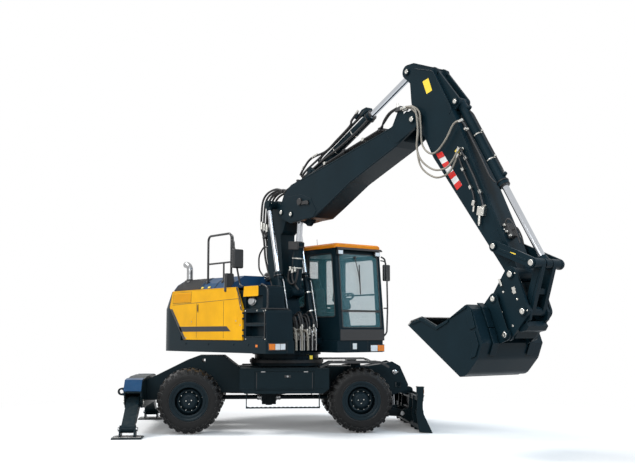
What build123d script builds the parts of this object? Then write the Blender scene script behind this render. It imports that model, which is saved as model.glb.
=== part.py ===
"""Wheeled excavator with a two-piece boom, front dozer blade and rear outriggers.

Units are millimetres, +Z is up.  The origin lies on the ground on the slewing axis.
+X is the way the boom points and +Y is the cab's side.  The undercarriage is drawn in
its own frame, +X towards the blade, and is turned about Z as the last step.
"""

from build123d import *
import os
from math import atan2, cos, degrees, hypot, radians, sin

os.makedirs("parts", exist_ok=True)

# ---------------------------------------------------------------- driving sizes
SEAT = 0.3            # gap between faces that slide on each other
CLEAR = 6.0           # gap between pieces that pass each other
PIN_GAP = 0.4         # radial clearance of a pin in its eye
BOTH = (-1, 1)        # right and left

# undercarriage, in its own frame
UNDERCARRIAGE_TURN = 55.74
FRONT_AXLE_X = 1183
REAR_AXLE_X = -1617
TYRE_R = 530
TYRE_WIDTH = 560
TRACK_HALF = 970
RIM_R = 255
KINGPIN_Y = 850
CHASSIS_BOTTOM = 620
CHASSIS_HALF = 380
NOSE_HALF = 365
SHAFT_Z = 517
TURNTABLE_R = 635
TURNTABLE_TOP = 1180

# upper structure
DECK_BOTTOM = 1300
DECK_TOP = 1500
DECK_HALF = 1240
DECK_FRONT = 1190
TAIL_R = 2650
TAIL_CORNER_R = 600
TAIL_FRONT = -1562
TAIL_SHOULDER = 2070
TAIL_SLOPE = 17.0
HOOD_TOP = 2610
HOOD_BACK = -1960
HOOD_HALF = DECK_HALF - 84
EXHAUST = (-1794, -930)
WAIST = 2400
SIDE_DOOR_WALL = 40
DOOR_HINGE_Z = (1600, 1880)
CAB_HINGE_Z = (1700, 2760)

# cab, its walls drawn from one side profile (x, z)
CAB_RIGHT = 228
CAB_LEFT = DECK_HALF - 5
CAB_WALL = 50
CAB_TOP = 3080
CAB_FLOOR = DECK_TOP + CAB_WALL
CAB_PROFILE = [(-480, DECK_TOP), (-520, CAB_TOP), (1070, CAB_TOP), (1200, 1700), (1200, DECK_TOP)]
DOOR_GAP = 8
PANE = 8
RIGHT_WINDOWS = (
    [(-400, 2080, 60), (-430, 2990, 60), (230, 2990, 60), (230, 2080, 60)],
    [(310, 1900, 60), (310, 2990, 60), (985, 2990, 60), (1080, 1900, 60)],
)
REAR_SIDE_WINDOW = [(-420, 2080, 60), (-440, 2990, 60), (-50, 2990, 60), (-50, 2080, 60)]
DOOR_WINDOW = [(130, 1750, 60), (130, 2930, 60), (955, 2930, 60), (1040, 1750, 60)]

# boom plane and pins (x, z)
BOOM_Y = -170
BOOM_FOOT = (330, 1887)
BOOM_JOINT = (348, 3708)
LIFT_BASE = (657, 1479)
LIFT_EYE = (101, 3862)
LIFT_Y = 296
ADJUST_BASE = (500, 2330)
ADJUST_EYE = (630, 3650)
NOSE = (3637, 4754)
ARM_CYL_BASE = (1050, 4345)
ARM_CYL_EYE = (3450, 5525)
BUCKET_CYL_BASE = (4415, 4885)
IDLER_PIN = (5218, 2763)
TIP_PIN = (5840, 2510)
ARM_END = (5454, 2387)
COUPLER_PIN = (5647, 1905)
BUCKET_PINS = ((5204, 2072), (5392, 1606))
BUCKET_HALF = 600
BUCKET_WALL = 30
BASE_BOOM_HALF = 150
UPPER_BOOM_HALF = 200
NOSE_FORK = 215
ARM_HALF = 165
COUPLER_OUT = 240
IDLER_IN = COUPLER_OUT + CLEAR

# blade linkage pins in the undercarriage frame (x, z)
BLADE_ARM_FOOT = (1500, 380)
BLADE_ARM_TIP = (1990, 250)
BLADE_LINK_FOOT = (1540, 760)
BLADE_CYL_BASE = (1860, 960)
BLADE_CYL_EYE = (1880, 345)
BLADE_HALF = 1245

# outrigger pins in the undercarriage frame (y, z)
LEG_FOOT = (1000, 510)
PAD_PIN = (1670, 140)
OUTRIGGER_X = -2520
TOW_EYE = (-2735, 674)
TOW_EYE_Y = 900
TOW_BORE_R = 32


# ---------------------------------------------------------------- shape helpers
def side_plate(outline, y_from, y_to):
    """A plate from a side outline of (x, z) or (x, z, corner radius) points."""
    sketch = Polygon(*[point[:2] for point in outline], align=None)
    for point in outline:
        if len(point) == 3:
            corner = sketch.vertices().sort_by_distance((point[0], point[1], 0))[0]
            sketch = fillet(corner, point[2])
    return extrude(Plane.XZ.offset(-y_from) * sketch, amount=y_to - y_from, dir=(0, 1, 0))


def cross_plate(outline, x_from, x_to):
    """A plate from a front outline of (y, z) points, between two x places."""
    sketch = Polygon(*outline, align=None)
    return extrude(Plane.YZ.offset(x_from) * sketch, amount=x_to - x_from, dir=(1, 0, 0))


def floor_plate(outline, z_from, z_to):
    """A plate from a plan outline of (x, y) or (x, y, corner radius) points."""
    sketch = Polygon(*[point[:2] for point in outline], align=None)
    for point in outline:
        if len(point) == 3:
            corner = sketch.vertices().sort_by_distance((point[0], point[1], 0))[0]
            sketch = fillet(corner, point[2])
    return extrude(Plane.XY.offset(z_from) * sketch, amount=z_to - z_from, dir=(0, 0, 1))


def link_plate(discs, y_from, y_to):
    """A plate whose side outline is stretched round discs of (x, z, radius)."""
    sketch = Sketch() + [Pos(x, z) * Circle(r) for x, z, r in discs]
    hull = make_hull(sketch.edges())
    return extrude(Plane.XZ.offset(-y_from) * hull, amount=y_to - y_from, dir=(0, 1, 0))


def block(x_from, x_to, y_from, y_to, z_from, z_to):
    size = (x_to - x_from, y_to - y_from, z_to - z_from)
    middle = ((x_from + x_to) / 2, (y_from + y_to) / 2, (z_from + z_to) / 2)
    return Pos(*middle) * Box(*size)


def bar(start, end, radius):
    """A round bar between two points."""
    axis = Vector(*end) - Vector(*start)
    return Solid.make_cylinder(radius, axis.length, Plane(origin=start, z_dir=axis))


def cross_bar(pin, radius, y_from, y_to):
    """A round bar along Y at a pin's (x, z)."""
    return bar((pin[0], y_from, pin[1]), (pin[0], y_to, pin[1]), radius)


def mirrored(shape):
    """The shape and its twin on the other side of the y = 0 plane."""
    return shape + mirror(shape, Plane.XZ)


def rail(points, radius, bend):
    """A bent tube through points, its corners rounded."""
    path = FilletPolyline(*points, radius=bend)
    section = Plane(origin=path @ 0, z_dir=path % 0) * Circle(radius)
    return sweep(section, path)


def pin_heads(pin, radius, y_face, thickness=14):
    """Round pin ends on both outer faces of a clevis."""
    return mirrored(cross_bar(pin, radius, y_face, y_face + thickness))


def toward(start, end):
    """Unit direction (x, z) and length from one pin to another."""
    dx, dz = end[0] - start[0], end[1] - start[1]
    length = hypot(dx, dz)
    return dx / length, dz / length, length


def along(start, end, distance):
    ux, uz, _ = toward(start, end)
    return start[0] + ux * distance, start[1] + uz * distance


def beam_outline(start, end, points):
    """Side outline from points placed along and across the line of two pins.

    Each point is (pin, distance, offset) and may end with a corner radius: the pin it
    follows (0 the start, 1 the end), how far past it and how far to the line's left.
    """
    ux, uz, _ = toward(start, end)
    outline = []
    for pin, distance, across, *corner in points:
        x, z = (start, end)[pin]
        outline.append((x + ux * distance - uz * across, z + uz * distance + ux * across, *corner))
    return outline


def beside(start, end, pin, distance, across):
    """One point placed as in beam_outline."""
    return beam_outline(start, end, [(pin, distance, across)])[0]


def ram(base, eye, barrel_r, rod_r, barrel_length, retract, y, eye_r, eye_half, base_half, collar=40):
    """Barrel and rod of a hydraulic cylinder between two pins at one y."""
    def at(distance):
        x, z = along(base, eye, distance)
        return x, y, z

    reach = toward(base, eye)[2]
    head = barrel_r * 0.9
    barrel = bar(at(0), at(barrel_length), barrel_r)
    barrel += bar(at(barrel_length - head), at(barrel_length), barrel_r * 1.12)
    barrel += cross_bar(base, eye_r, y - base_half, y + base_half)
    depth = barrel_length - eye_r - 30
    barrel -= bar(at(barrel_length - depth), at(barrel_length + 1), rod_r + SEAT)
    inner = barrel_length - (depth - retract - 15)
    rod = bar(at(inner), at(reach), rod_r)
    rod += cross_bar(eye, eye_r, y - eye_half, y + eye_half)
    rod += bar(at(reach - eye_r - collar), at(reach - eye_r * 0.5), rod_r * 1.18)
    return barrel, rod


parts = {}


def undercarriage(name, shape):
    parts[name] = shape.rotate(Axis.Z, UNDERCARRIAGE_TURN)


def upper(name, shape):
    parts[name] = shape


def boom(name, shape):
    parts[name] = shape.translate((0, BOOM_Y, 0))


# ---------------------------------------------------------------- undercarriage
def make_chassis():
    rear = side_plate(
        [
            (-2380, 500), (-2380, 840), (-1708, 1173), (-1517, 1245, 40), (-1086, 1245, 40),
            (-845, 1060), (-640, 1060), (-640, CHASSIS_BOTTOM), (-1250, CHASSIS_BOTTOM),
            (-1330, 730), (-1930, 730), (-2060, 500),
        ],
        -CHASSIS_HALF, CHASSIS_HALF,
    )
    middle = block(-640, 640, -CHASSIS_HALF, CHASSIS_HALF, CHASSIS_BOTTOM, 1060)
    front = side_plate(
        [(640, CHASSIS_BOTTOM), (640, 1060), (1470, 1060), (1470, 740), (820, 740)],
        -340, 340,
    )
    ring = Pos(0, 0, 1030) * Cylinder(540, 100)
    flange = Pos(0, 0, (1070 + TURNTABLE_TOP) / 2) * Cylinder(TURNTABLE_R, TURNTABLE_TOP - 1070)
    chassis = rear + middle + front + ring + flange
    nose = side_plate(
        [
            (1400, 1060), (1700, 1110), (1815, 1140, 20), (1955, 1061, 20), (2095, 745, 20),
            (2080, 650, 20), (1800, 560, 60), (1560, 300, 50), (1440, 300, 50), (1400, 420),
        ],
        340, NOSE_HALF,
    )
    nose -= side_plate([(1870, 700, 20), (1870, 790, 20), (1960, 790, 20), (1960, 700, 20)], 300, 400)
    chassis += mirrored(nose)
    chassis += side_plate([(1470, 1000), (1470, 1060), (1800, 1110), (1800, 1085)], -340, 340)
    chassis += mirrored(link_plate([(*BLADE_LINK_FOOT, 50), (1460, 760, 60)], 55 + SEAT, 85))
    chassis += cross_bar(BLADE_CYL_BASE, 34, -345, 345)
    chassis += pin_heads(BLADE_ARM_FOOT, 40, NOSE_HALF)
    fender_top = [(514, 1085), (686, 1165), (1500, 1165), (1650, 1085)]
    fender = side_plate(fender_top + [(x, z - 12) for x, z in reversed(fender_top)], 640, 1200)
    fender += block(1100, 1266, 300, 700, 1125, 1153)
    fender += block(1100, 1266, 300, 340, 1040, 1153)
    chassis += mirrored(fender)
    chassis -= block(-1460, -1400, -500, 500, 1130, 1190)
    return chassis


def make_side_box():
    """Tool and battery box with a hanging step, on one side."""
    box = side_plate(
        [(-800, 720), (-800, 1058, 20), (660, 1058, 20), (660, 720), (560, 646), (-720, 646)],
        760, 1200,
    )
    recess = side_plate([(-560, 690, 20), (-560, 1010, 20), (420, 1010, 20), (420, 690, 20)], 1188, 1210)
    box -= recess
    swept = [(535, 700), (535, 880), (600, 1030), (672, 1201), (700, 1201), (700, 700)]
    wheel_sweep = floor_plate(swept, 600, 1100)
    box -= wheel_sweep
    box += block(-500, 300, CHASSIS_HALF, 760, 760, 900)
    for x in (-690, 502):
        box += block(x - 8, x + 8, 1090, 1150, 420, 800)
    box += block(-698, 510, 1090, 1185, 408, 424)
    return box


def make_rear_axle():
    axle = bar((REAR_AXLE_X, -700, TYRE_R), (REAR_AXLE_X, 700, TYRE_R), 95)
    axle += Pos(REAR_AXLE_X, 0, TYRE_R) * Rot(90, 0, 0) * Cylinder(185, 300)
    axle += bar((REAR_AXLE_X, 0, SHAFT_Z), (REAR_AXLE_X + 270, 0, SHAFT_Z), 90)
    for side in BOTH:
        axle += bar((REAR_AXLE_X, side * 640, TYRE_R), (REAR_AXLE_X, side * 900, TYRE_R), 150)
        saddle = block(REAR_AXLE_X - 130, REAR_AXLE_X + 130, 220, 340, TYRE_R, 730)
        axle += saddle if side > 0 else mirror(saddle, Plane.XZ)
    return axle


def make_front_axle():
    axle = bar((FRONT_AXLE_X, -700, TYRE_R), (FRONT_AXLE_X, 700, TYRE_R), 80)
    axle += Pos(FRONT_AXLE_X, 0, TYRE_R) * Rot(90, 0, 0) * Cylinder(175, 280)
    axle += bar((FRONT_AXLE_X, 0, SHAFT_Z), (FRONT_AXLE_X - 260, 0, SHAFT_Z), 85)
    axle += block(FRONT_AXLE_X - 180, FRONT_AXLE_X + 180, -110, 110, TYRE_R, 740)
    axle += bar((FRONT_AXLE_X + 150, -300, TYRE_R), (FRONT_AXLE_X + 150, 300, TYRE_R), 45)
    yoke = block(FRONT_AXLE_X - 65, FRONT_AXLE_X + 65, 690, 760, TYRE_R - 155, TYRE_R + 155)
    for z in (TYRE_R - 155, TYRE_R + 121):
        yoke += floor_plate(
            [
                (FRONT_AXLE_X - 65, 700), (FRONT_AXLE_X - 65, 905, 60),
                (FRONT_AXLE_X + 65, 905, 60), (FRONT_AXLE_X + 65, 700),
            ],
            z, z + 34,
        )
    return axle + mirrored(yoke)


def make_knuckle(side):
    """Swivel housing that turns on the kingpin and carries the wheel hub."""
    swivel = Pos(FRONT_AXLE_X, side * KINGPIN_Y, TYRE_R) * Cylinder(72, 2 * (121 - SEAT))
    stub = bar((FRONT_AXLE_X, side * KINGPIN_Y, TYRE_R), (FRONT_AXLE_X, side * 940, TYRE_R), 100)
    return swivel + stub


def make_wheel(x, side, hub_face):
    """Tyre and dished rim of one wheel, as revolved sections."""
    edge = TYRE_WIDTH / 2
    half = [
        (235, RIM_R), (238, RIM_R + 14), (258, RIM_R + 30), (edge - 6, 330), (edge, 380),
        (edge - 5, 430), (262, 478), (222, TYRE_R - 12), (110, TYRE_R - 3),
    ]
    tyre_face = Polygon(*half, (0, TYRE_R), *[(-x, r) for x, r in reversed(half)], align=None)
    rim_face = make_face(
        Polyline(
            (-262, RIM_R - 20), (262, RIM_R - 20), (262, RIM_R + 12), (240, RIM_R + 12),
            (235, RIM_R), (-235, RIM_R), (-240, RIM_R + 12), (-262, RIM_R + 12),
            close=True,
        )
    )
    disc_in = hub_face - TRACK_HALF
    disc_face = make_face(
        Polyline(
            (disc_in, 0), (200, 0), (200, 118), (188, 135), (150, 135), (135, 160),
            (95, RIM_R - 19), (75, RIM_R - 19), (110, 150), (110, 120), (disc_in, 120),
            close=True,
        )
    )
    tyre = revolve(tyre_face, Axis.X)
    rim = revolve(rim_face, Axis.X) + revolve(disc_face, Axis.X)
    turn = Rot(0, 0, 90 * side)
    place = Pos(x, side * TRACK_HALF, TYRE_R)
    return place * turn * tyre, place * turn * rim


def make_driveline():
    box = block(-432, -186, -150, 150, 400, CHASSIS_BOTTOM)
    rear = bar((-432, 0, SHAFT_Z), (REAR_AXLE_X + 270, 0, SHAFT_Z), 38)
    front = bar((-186, 0, SHAFT_Z), (FRONT_AXLE_X - 260, 0, SHAFT_Z), 38)
    return box + rear + front


def make_outrigger_frame():
    """Cross box at the tail that carries both outrigger legs."""
    plate = cross_plate(
        [
            (-1170, 600), (-1170, 680), (-1000, 857), (-400, 900), (400, 900), (1000, 857),
            (1170, 680), (1170, 600), (1060, 420), (700, 400), (-700, 400), (-1060, 420),
        ],
        OUTRIGGER_X - 140, OUTRIGGER_X - 120,
    )
    frame = plate + Pos(260, 0, 0) * plate
    inner = (OUTRIGGER_X - 120, OUTRIGGER_X + 120)
    skin = [(-1170, 680), (-1000, 857), (-400, 900), (400, 900), (1000, 857), (1170, 680)]
    frame += cross_plate(skin + [(y, z - 18) for y, z in reversed(skin)], *inner)
    frame += block(*inner, -700, 700, 400, 418)
    frame += mirrored(block(*inner, 700, 716, 400, 870))
    back = OUTRIGGER_X - 138
    lug = link_plate([(*TOW_EYE, 60), (back - 10, TOW_EYE[1] + 60, 10), (back - 10, TOW_EYE[1] - 60, 10)],
                     TOW_EYE_Y - 30, TOW_EYE_Y + 30)
    lug -= cross_bar(TOW_EYE, TOW_BORE_R, TOW_EYE_Y - 40, TOW_EYE_Y + 40)
    frame += mirrored(lug)
    for side in BOTH:
        y = side * LEG_FOOT[0]
        for x in (OUTRIGGER_X - 154, OUTRIGGER_X + 140):
            frame += bar((x, y, LEG_FOOT[1]), (x + 14, y, LEG_FOOT[1]), 45)
    return frame


def make_leg(side):
    """Swinging outrigger leg, a box beam from its pivot to the pad's pin."""
    sketch = Sketch() + Pos(*LEG_FOOT) * Circle(98) + Pos(*PAD_PIN) * Circle(58)
    hull = make_hull(sketch.edges())
    relief = beam_outline(PAD_PIN, LEG_FOOT, [(0, 45, 42), (0, 235, 42), (0, 300, 120), (0, 45, 120)])
    hull -= Polygon(*relief, align=None)
    x_from = OUTRIGGER_X - 100
    leg = extrude(Plane.YZ.offset(x_from) * hull, amount=200, dir=(1, 0, 0))
    leg += bar((OUTRIGGER_X - 120 + SEAT, *LEG_FOOT), (OUTRIGGER_X + 120 - SEAT, *LEG_FOOT), 80)
    return leg if side > 0 else mirror(leg, Plane.XZ)


def make_pad(side):
    """Ground plate of an outrigger leg with the two ears that hang on its pin."""
    y, z = PAD_PIN
    sole = [(y - 205, 1), (y - 205, 12), (y - 130, 26), (y + 130, 26), (y + 205, 12), (y + 205, 1)]
    pad = cross_plate(sole, OUTRIGGER_X - 230, OUTRIGGER_X + 230)
    ear_profile = Polygon((y - 130, 26), (y + 130, 26), (y + 60, z + 30), (y - 60, z + 30), align=None)
    for x in (OUTRIGGER_X - 100 - SEAT - 25, OUTRIGGER_X + 100 + SEAT):
        pad += extrude(Plane.YZ.offset(x) * ear_profile, amount=25, dir=(1, 0, 0))
        pad += bar((x, y, z), (x + 25, y, z), 60)
    return pad if side > 0 else mirror(pad, Plane.XZ)


def make_blade():
    """Curved dozer blade with back ribs and linkage lugs."""
    face = make_face(
        Polyline((2349, 4), (2210, 300))
        + ThreePointArc((2210, 300), (2192, 450), (2214, 604))
        + Polyline((2214, 604), (2190, 610))
        + ThreePointArc((2190, 610), (2166, 450), (2184, 295))
        + Polyline((2184, 295), (2290, 4), (2349, 4))
    )
    place = Plane.XZ.offset(BLADE_HALF)
    blade = extrude(place * face, amount=2 * BLADE_HALF, dir=(0, 1, 0))
    rib = side_plate([(2130, 20), (2300, 6), (2200, 300), (2175, 590), (2110, 590), (2085, 300)], 0, 20)
    for y in (-BLADE_HALF, -780, -410, 390, 760, BLADE_HALF - 20):
        blade += Pos(0, y, 0) * rib
    for z in (110, 330, 560):
        stringer = [(2120, z - 40), (2205, z - 40), (2205, z + 30), (2120, z + 30)]
        blade += side_plate(stringer, 10 - BLADE_HALF, BLADE_HALF - 10)
    blade += mirrored(side_plate([(2108, 560), (2205, 560), (2214, 742), (2108, 757)], 1120, BLADE_HALF))
    for y in (229, 340 + SEAT):
        ear = link_plate([(*BLADE_ARM_TIP, 60), (2190, 150, 80), (2190, 280, 60)], y, y + 20)
        blade += mirrored(ear)
    tip = link_tip()
    discs = [(*tip, 50), (2170, tip[1] - 40, 60), (2170, tip[1] + 10, 50)]
    blade += mirrored(link_plate(discs, 55 + SEAT, 85))
    return blade


def link_tip():
    dx = BLADE_ARM_TIP[0] - BLADE_ARM_FOOT[0]
    dz = BLADE_ARM_TIP[1] - BLADE_ARM_FOOT[1]
    return BLADE_LINK_FOOT[0] + dx, BLADE_LINK_FOOT[1] + dz


def make_blade_arms():
    arm = link_plate([(*BLADE_ARM_FOOT, 62), (1700, 290, 80), (*BLADE_ARM_TIP, 55)], 255, 330)
    arm += cross_bar(BLADE_ARM_FOOT, 62, 330, 340 - SEAT)
    arm += cross_bar(BLADE_ARM_TIP, 55, 330, 340)
    arm += cross_bar(BLADE_ARM_TIP, 55, 249 + SEAT, 255)
    arms = mirrored(arm)
    arms += cross_bar((1700, 290), 55, -260, 260)
    for y in (100, 195):
        ear = link_plate([(BLADE_CYL_EYE[0], BLADE_CYL_EYE[1], 45), (1720, 290, 50)], y, y + 20)
        arms += mirrored(ear)
    return arms


def make_blade_link():
    tip = link_tip()
    return link_plate([(*BLADE_LINK_FOOT, 45), (*tip, 45)], -55, 55)


def make_blade_rams():
    barrels, rods = None, None
    for side in BOTH:
        barrel, rod = ram(BLADE_CYL_BASE, BLADE_CYL_EYE, 48, 28, 366, 196, side * 157.5, 45, 30, 40, 0)
        barrel -= cross_bar(BLADE_CYL_BASE, 34 + PIN_GAP, -400, 400)
        barrels = barrel if barrels is None else barrels + barrel
        rods = rod if rods is None else rods + rod
    return barrels, rods


# ---------------------------------------------------------------- upper structure
def make_upper_frame():
    """Slewing deck with the collar that turns on the ring."""
    left, right = BOOM_Y + 370, BOOM_Y - 530
    deck = floor_plate(
        [
            (TAIL_FRONT + SEAT, -DECK_HALF), (TAIL_FRONT + SEAT, DECK_HALF), (DECK_FRONT, DECK_HALF, 60),
            (DECK_FRONT, left, 30), (540, left), (540, right), (DECK_FRONT, right, 30),
            (DECK_FRONT, -DECK_HALF, 60),
        ],
        DECK_BOTTOM, DECK_TOP,
    )
    collar = (TURNTABLE_TOP + DECK_BOTTOM) / 2
    deck += Pos(0, 0, collar) * Cylinder(560, DECK_BOTTOM - TURNTABLE_TOP - 2 * SEAT)
    return deck + Pos(0, 0, DECK_BOTTOM - 20) * Cylinder(600, 40)


def make_boom_bracket():
    """Cheek plates on the deck that hold the boom's foot and the lift cylinders."""
    inner = link_plate([(*BOOM_FOOT, 125), (-350, 1490, 60), (*LIFT_BASE, 90), (400, 1400, 60)], 195, 226)
    outer = link_plate([(*LIFT_BASE, 85), (380, 1420, 60), (380, 1560, 60)], 366, 388)
    outer += block(300, 400, 366, 388, DECK_TOP, 1560)
    cheeks = mirrored(inner + outer) + pin_heads(BOOM_FOOT, 60, 226, 5) + pin_heads(LIFT_BASE, 42, 388, 9)
    bracket = cheeks.translate((0, BOOM_Y, 0))
    return bracket - make_upper_frame()


def make_counterweight():
    """Tail casting, its back an arc about the slewing axis and its shoulder sloped."""
    plan = Circle(TAIL_R) & Pos(TAIL_FRONT - 800, 0) * Rectangle(1600, 2 * DECK_HALF)
    plan = fillet(plan.vertices().group_by(Axis.X)[0], TAIL_CORNER_R)
    body = extrude(Plane.XY.offset(DECK_BOTTOM) * plan, amount=TAIL_SHOULDER - DECK_BOTTOM)
    body += extrude(Plane.XY.offset(TAIL_SHOULDER) * plan, amount=WAIST - TAIL_SHOULDER, taper=TAIL_SLOPE)
    front = [
        (-2900, DECK_BOTTOM - 10), (TAIL_FRONT, DECK_BOTTOM - 10), (TAIL_FRONT, DECK_TOP),
        (TAIL_FRONT + 84, DECK_TOP), (-1998, TAIL_SHOULDER + 32), (-1884, WAIST), (-2900, WAIST),
    ]
    return body & side_plate(front, -DECK_HALF - 10, DECK_HALF + 10)


def make_hood():
    """Engine cover on top, with sloped edges, and the exhaust stub."""
    half = HOOD_HALF
    section = [
        (-half, WAIST), (80 - half, HOOD_TOP - 110), (260 - half, HOOD_TOP), (half - 260, HOOD_TOP),
        (half - 80, HOOD_TOP - 110), (half, WAIST),
    ]
    hood = cross_plate(section, HOOD_BACK, -560)
    hood += cross_plate(section, -560, 0) & block(-560, 0, -half, BOOM_Y - 310, WAIST, HOOD_TOP)
    hood += bar((*EXHAUST, HOOD_TOP - 130), (*EXHAUST, 2830), 55)
    return hood


def make_engine():
    return block(-1400, -700, -650, 650, DECK_TOP, 2250)


def make_right_body():
    """Fixed right-hand body: tank, step box and the panels round the door."""
    side = -DECK_HALF + 5
    body = block(-120, 500, side + 45, BOOM_Y - 405, DECK_TOP, 2330)
    outline = [
        (500, DECK_TOP), (500, WAIST - 6), (920, WAIST - 6, 30), (920, 2240), (900, 2010),
        (DECK_FRONT - 60, 2010, 60), (DECK_FRONT - 20, DECK_TOP),
    ]
    body += side_plate(outline, side, BOOM_Y - 550)
    body -= block(490, 930, side - 10, side + 90, 2016, 2240)
    for z in (1570, 1790):
        body -= block(560, 1090, side - 10, side + 130, z, z + 170)
    lugs = hinge_lugs(476, DECK_HALF, 40, DOOR_HINGE_Z)
    return body + mirror(lugs, Plane.XZ)


def make_left_body():
    """Fixed left-hand body behind the cab: cooler and filter compartment."""
    inside = DECK_HALF - 50
    wall = block(-640, -560, -480, inside, DECK_TOP, WAIST)
    post = block(-526, -512, inside - 10, DECK_HALF - 4, 1560, 2300)
    post += block(-570, -512, inside - 40, inside, 1560, 2300)
    return wall + post + hinge_lugs(-544, DECK_HALF, 30, DOOR_HINGE_Z)


def hinge_barrel(x, y, z_from, z_to):
    return bar((x, y, z_from), (x, y, z_to), 14)


def hinge_lugs(x, y, inward, heights, depth=14):
    """Fixed hinge barrels above and below each moving one, with their straps."""
    lugs = None
    for z in heights:
        for z_from in (z - 30 - SEAT, z + 60 + SEAT):
            lug = hinge_barrel(x, y, z_from, z_from + 30)
            lug += block(min(x, x + inward), max(x, x + inward), y - depth, y, z_from, z_from + 30)
            lugs = lug if lugs is None else lugs + lug
    return lugs


def make_side_door(side):
    """Side door of the engine bay with a chamfered rear corner."""
    front, slant = (460, 200) if side < 0 else (-560, 40)
    outline = [
        (-1985, 2100, 30), (-1873, WAIST - 6), (front - slant, WAIST - 6), (front, 2020),
        (front, DECK_TOP + 10), (TAIL_FRONT + 97, DECK_TOP + 10),
    ]
    door = side_plate(outline, DECK_HALF - SIDE_DOOR_WALL, DECK_HALF)
    for z in DOOR_HINGE_Z:
        door += hinge_barrel(front + 16, DECK_HALF, z, z + 60)
        door += block(front - 30, front + 16, DECK_HALF - 12, DECK_HALF - 2, z, z + 60)
    return door if side > 0 else mirror(door, Plane.XZ)


def make_rails():
    """Hand rail hoop on the hood."""
    y = 192 - DECK_HALF
    foot = HOOD_TOP - 140
    hoop = rail([(-950, y, foot), (-950, y, 3350), (-190, y, 3350), (-190, y, foot)], 20, 90)
    hoop += bar((-950, y, 2850), (-190, y, 2850), 16)
    hoop += bar((-430, y, foot), (-430, y, 2845), 16)
    return hoop - make_hood()


def inset(profile, amount):
    """A side profile shrunk by an amount on every edge."""
    face = Polygon(*profile, align=None)
    return offset(face, -amount, kind=Kind.INTERSECTION)


def make_cab_frame():
    """Floor, back, header and windscreen frame between the cab's two side walls."""
    inner_y = (CAB_RIGHT + CAB_WALL, CAB_LEFT - CAB_WALL)
    hollow = extrude(
        Plane.XZ.offset(-inner_y[0]) * inset(CAB_PROFILE, CAB_WALL),
        amount=inner_y[1] - inner_y[0],
        dir=(0, 1, 0),
    )
    cab = side_plate(CAB_PROFILE, *inner_y) - hollow
    cab -= block(1000, 1300, CAB_RIGHT + 70, CAB_LEFT - 70, 1720, 2990)
    return cab - block(-700, -400, CAB_RIGHT + 120, CAB_LEFT - 120, 2100, 2980)


def make_cab_side_right():
    wall = side_plate(CAB_PROFILE, CAB_RIGHT, CAB_RIGHT + CAB_WALL)
    for window in RIGHT_WINDOWS:
        wall -= side_plate(window, CAB_RIGHT - 10, CAB_RIGHT + CAB_WALL + 10)
    return wall


def make_cab_side_left():
    """Door side of the cab, with the door opening, a rear window and the hinges."""
    wall = side_plate(CAB_PROFILE, CAB_LEFT - CAB_WALL, CAB_LEFT)
    wall -= door_outline(DOOR_GAP, CAB_LEFT - CAB_WALL - 10, CAB_LEFT + 10)
    wall -= side_plate(REAR_SIDE_WINDOW, CAB_LEFT - CAB_WALL - 10, CAB_LEFT + 10)
    return wall + hinge_lugs(46, CAB_LEFT + 16, -60, CAB_HINGE_Z, 16)


def door_outline(gap, y_from, y_to):
    outline = [
        (60 - gap, 1560 - gap, 60), (60 - gap, 3000 + gap, 60), (1010 + gap, 3000 + gap, 60),
        (1120 + gap, 1720, 40), (1060 + gap, 1560 - gap, 60),
    ]
    return side_plate(outline, y_from, y_to)


def make_cab_door():
    door = door_outline(0, CAB_LEFT - CAB_WALL, CAB_LEFT)
    door -= side_plate(DOOR_WINDOW, CAB_LEFT - CAB_WALL - 10, CAB_LEFT + 10)
    for z in CAB_HINGE_Z:
        door += hinge_barrel(46, CAB_LEFT + 16, z, z + 60)
        door += block(46, 110, CAB_LEFT + 2, CAB_LEFT + 16, z, z + 60)
        door += block(66, 110, CAB_LEFT, CAB_LEFT + 16, z, z + 60)
    return door


def make_cab_roof():
    plan = [
        (-560, CAB_RIGHT - 20, 60), (-560, CAB_LEFT + 5, 60), (1130, CAB_LEFT + 5, 80),
        (1130, CAB_RIGHT - 20, 80),
    ]
    roof = floor_plate(plan, CAB_TOP, CAB_TOP + 80)
    return chamfer(roof.faces().sort_by(Axis.Z)[-1].edges(), 30)


def make_cab_glass():
    """Fixed panes, each in the middle of its wall."""
    panes = None
    for outline in RIGHT_WINDOWS:
        pane = side_plate(outline, CAB_RIGHT + 20, CAB_RIGHT + 20 + PANE)
        panes = pane if panes is None else panes + pane
    panes += side_plate(REAR_SIDE_WINDOW, CAB_LEFT - 30, CAB_LEFT - 30 + PANE)
    screen = [(1078, 2990), (1078 + PANE, 2990), (1183 + PANE, 1720), (1183, 1720)]
    panes += side_plate(screen, CAB_RIGHT + 70, CAB_LEFT - 70)
    rear = [(-500, 2100), (-500 + PANE, 2100), (-517 + PANE, 2980), (-517, 2980)]
    return panes + side_plate(rear, CAB_RIGHT + 120, CAB_LEFT - 120)


def make_door_glass():
    return side_plate(DOOR_WINDOW, CAB_LEFT - 30, CAB_LEFT - 30 + PANE)


def make_seat():
    middle = (CAB_RIGHT + CAB_LEFT) / 2 + 28
    base = block(-150, 300, middle - 200, middle + 200, CAB_FLOOR, 1880)
    cushion = block(-180, 340, middle - 250, middle + 250, 1880, 1990)
    outline = [(-180, 1990), (-80, 1990), (-160, 2650, 30), (-260, 2650, 30)]
    return base + cushion + side_plate(outline, middle - 230, middle + 230)


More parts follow.
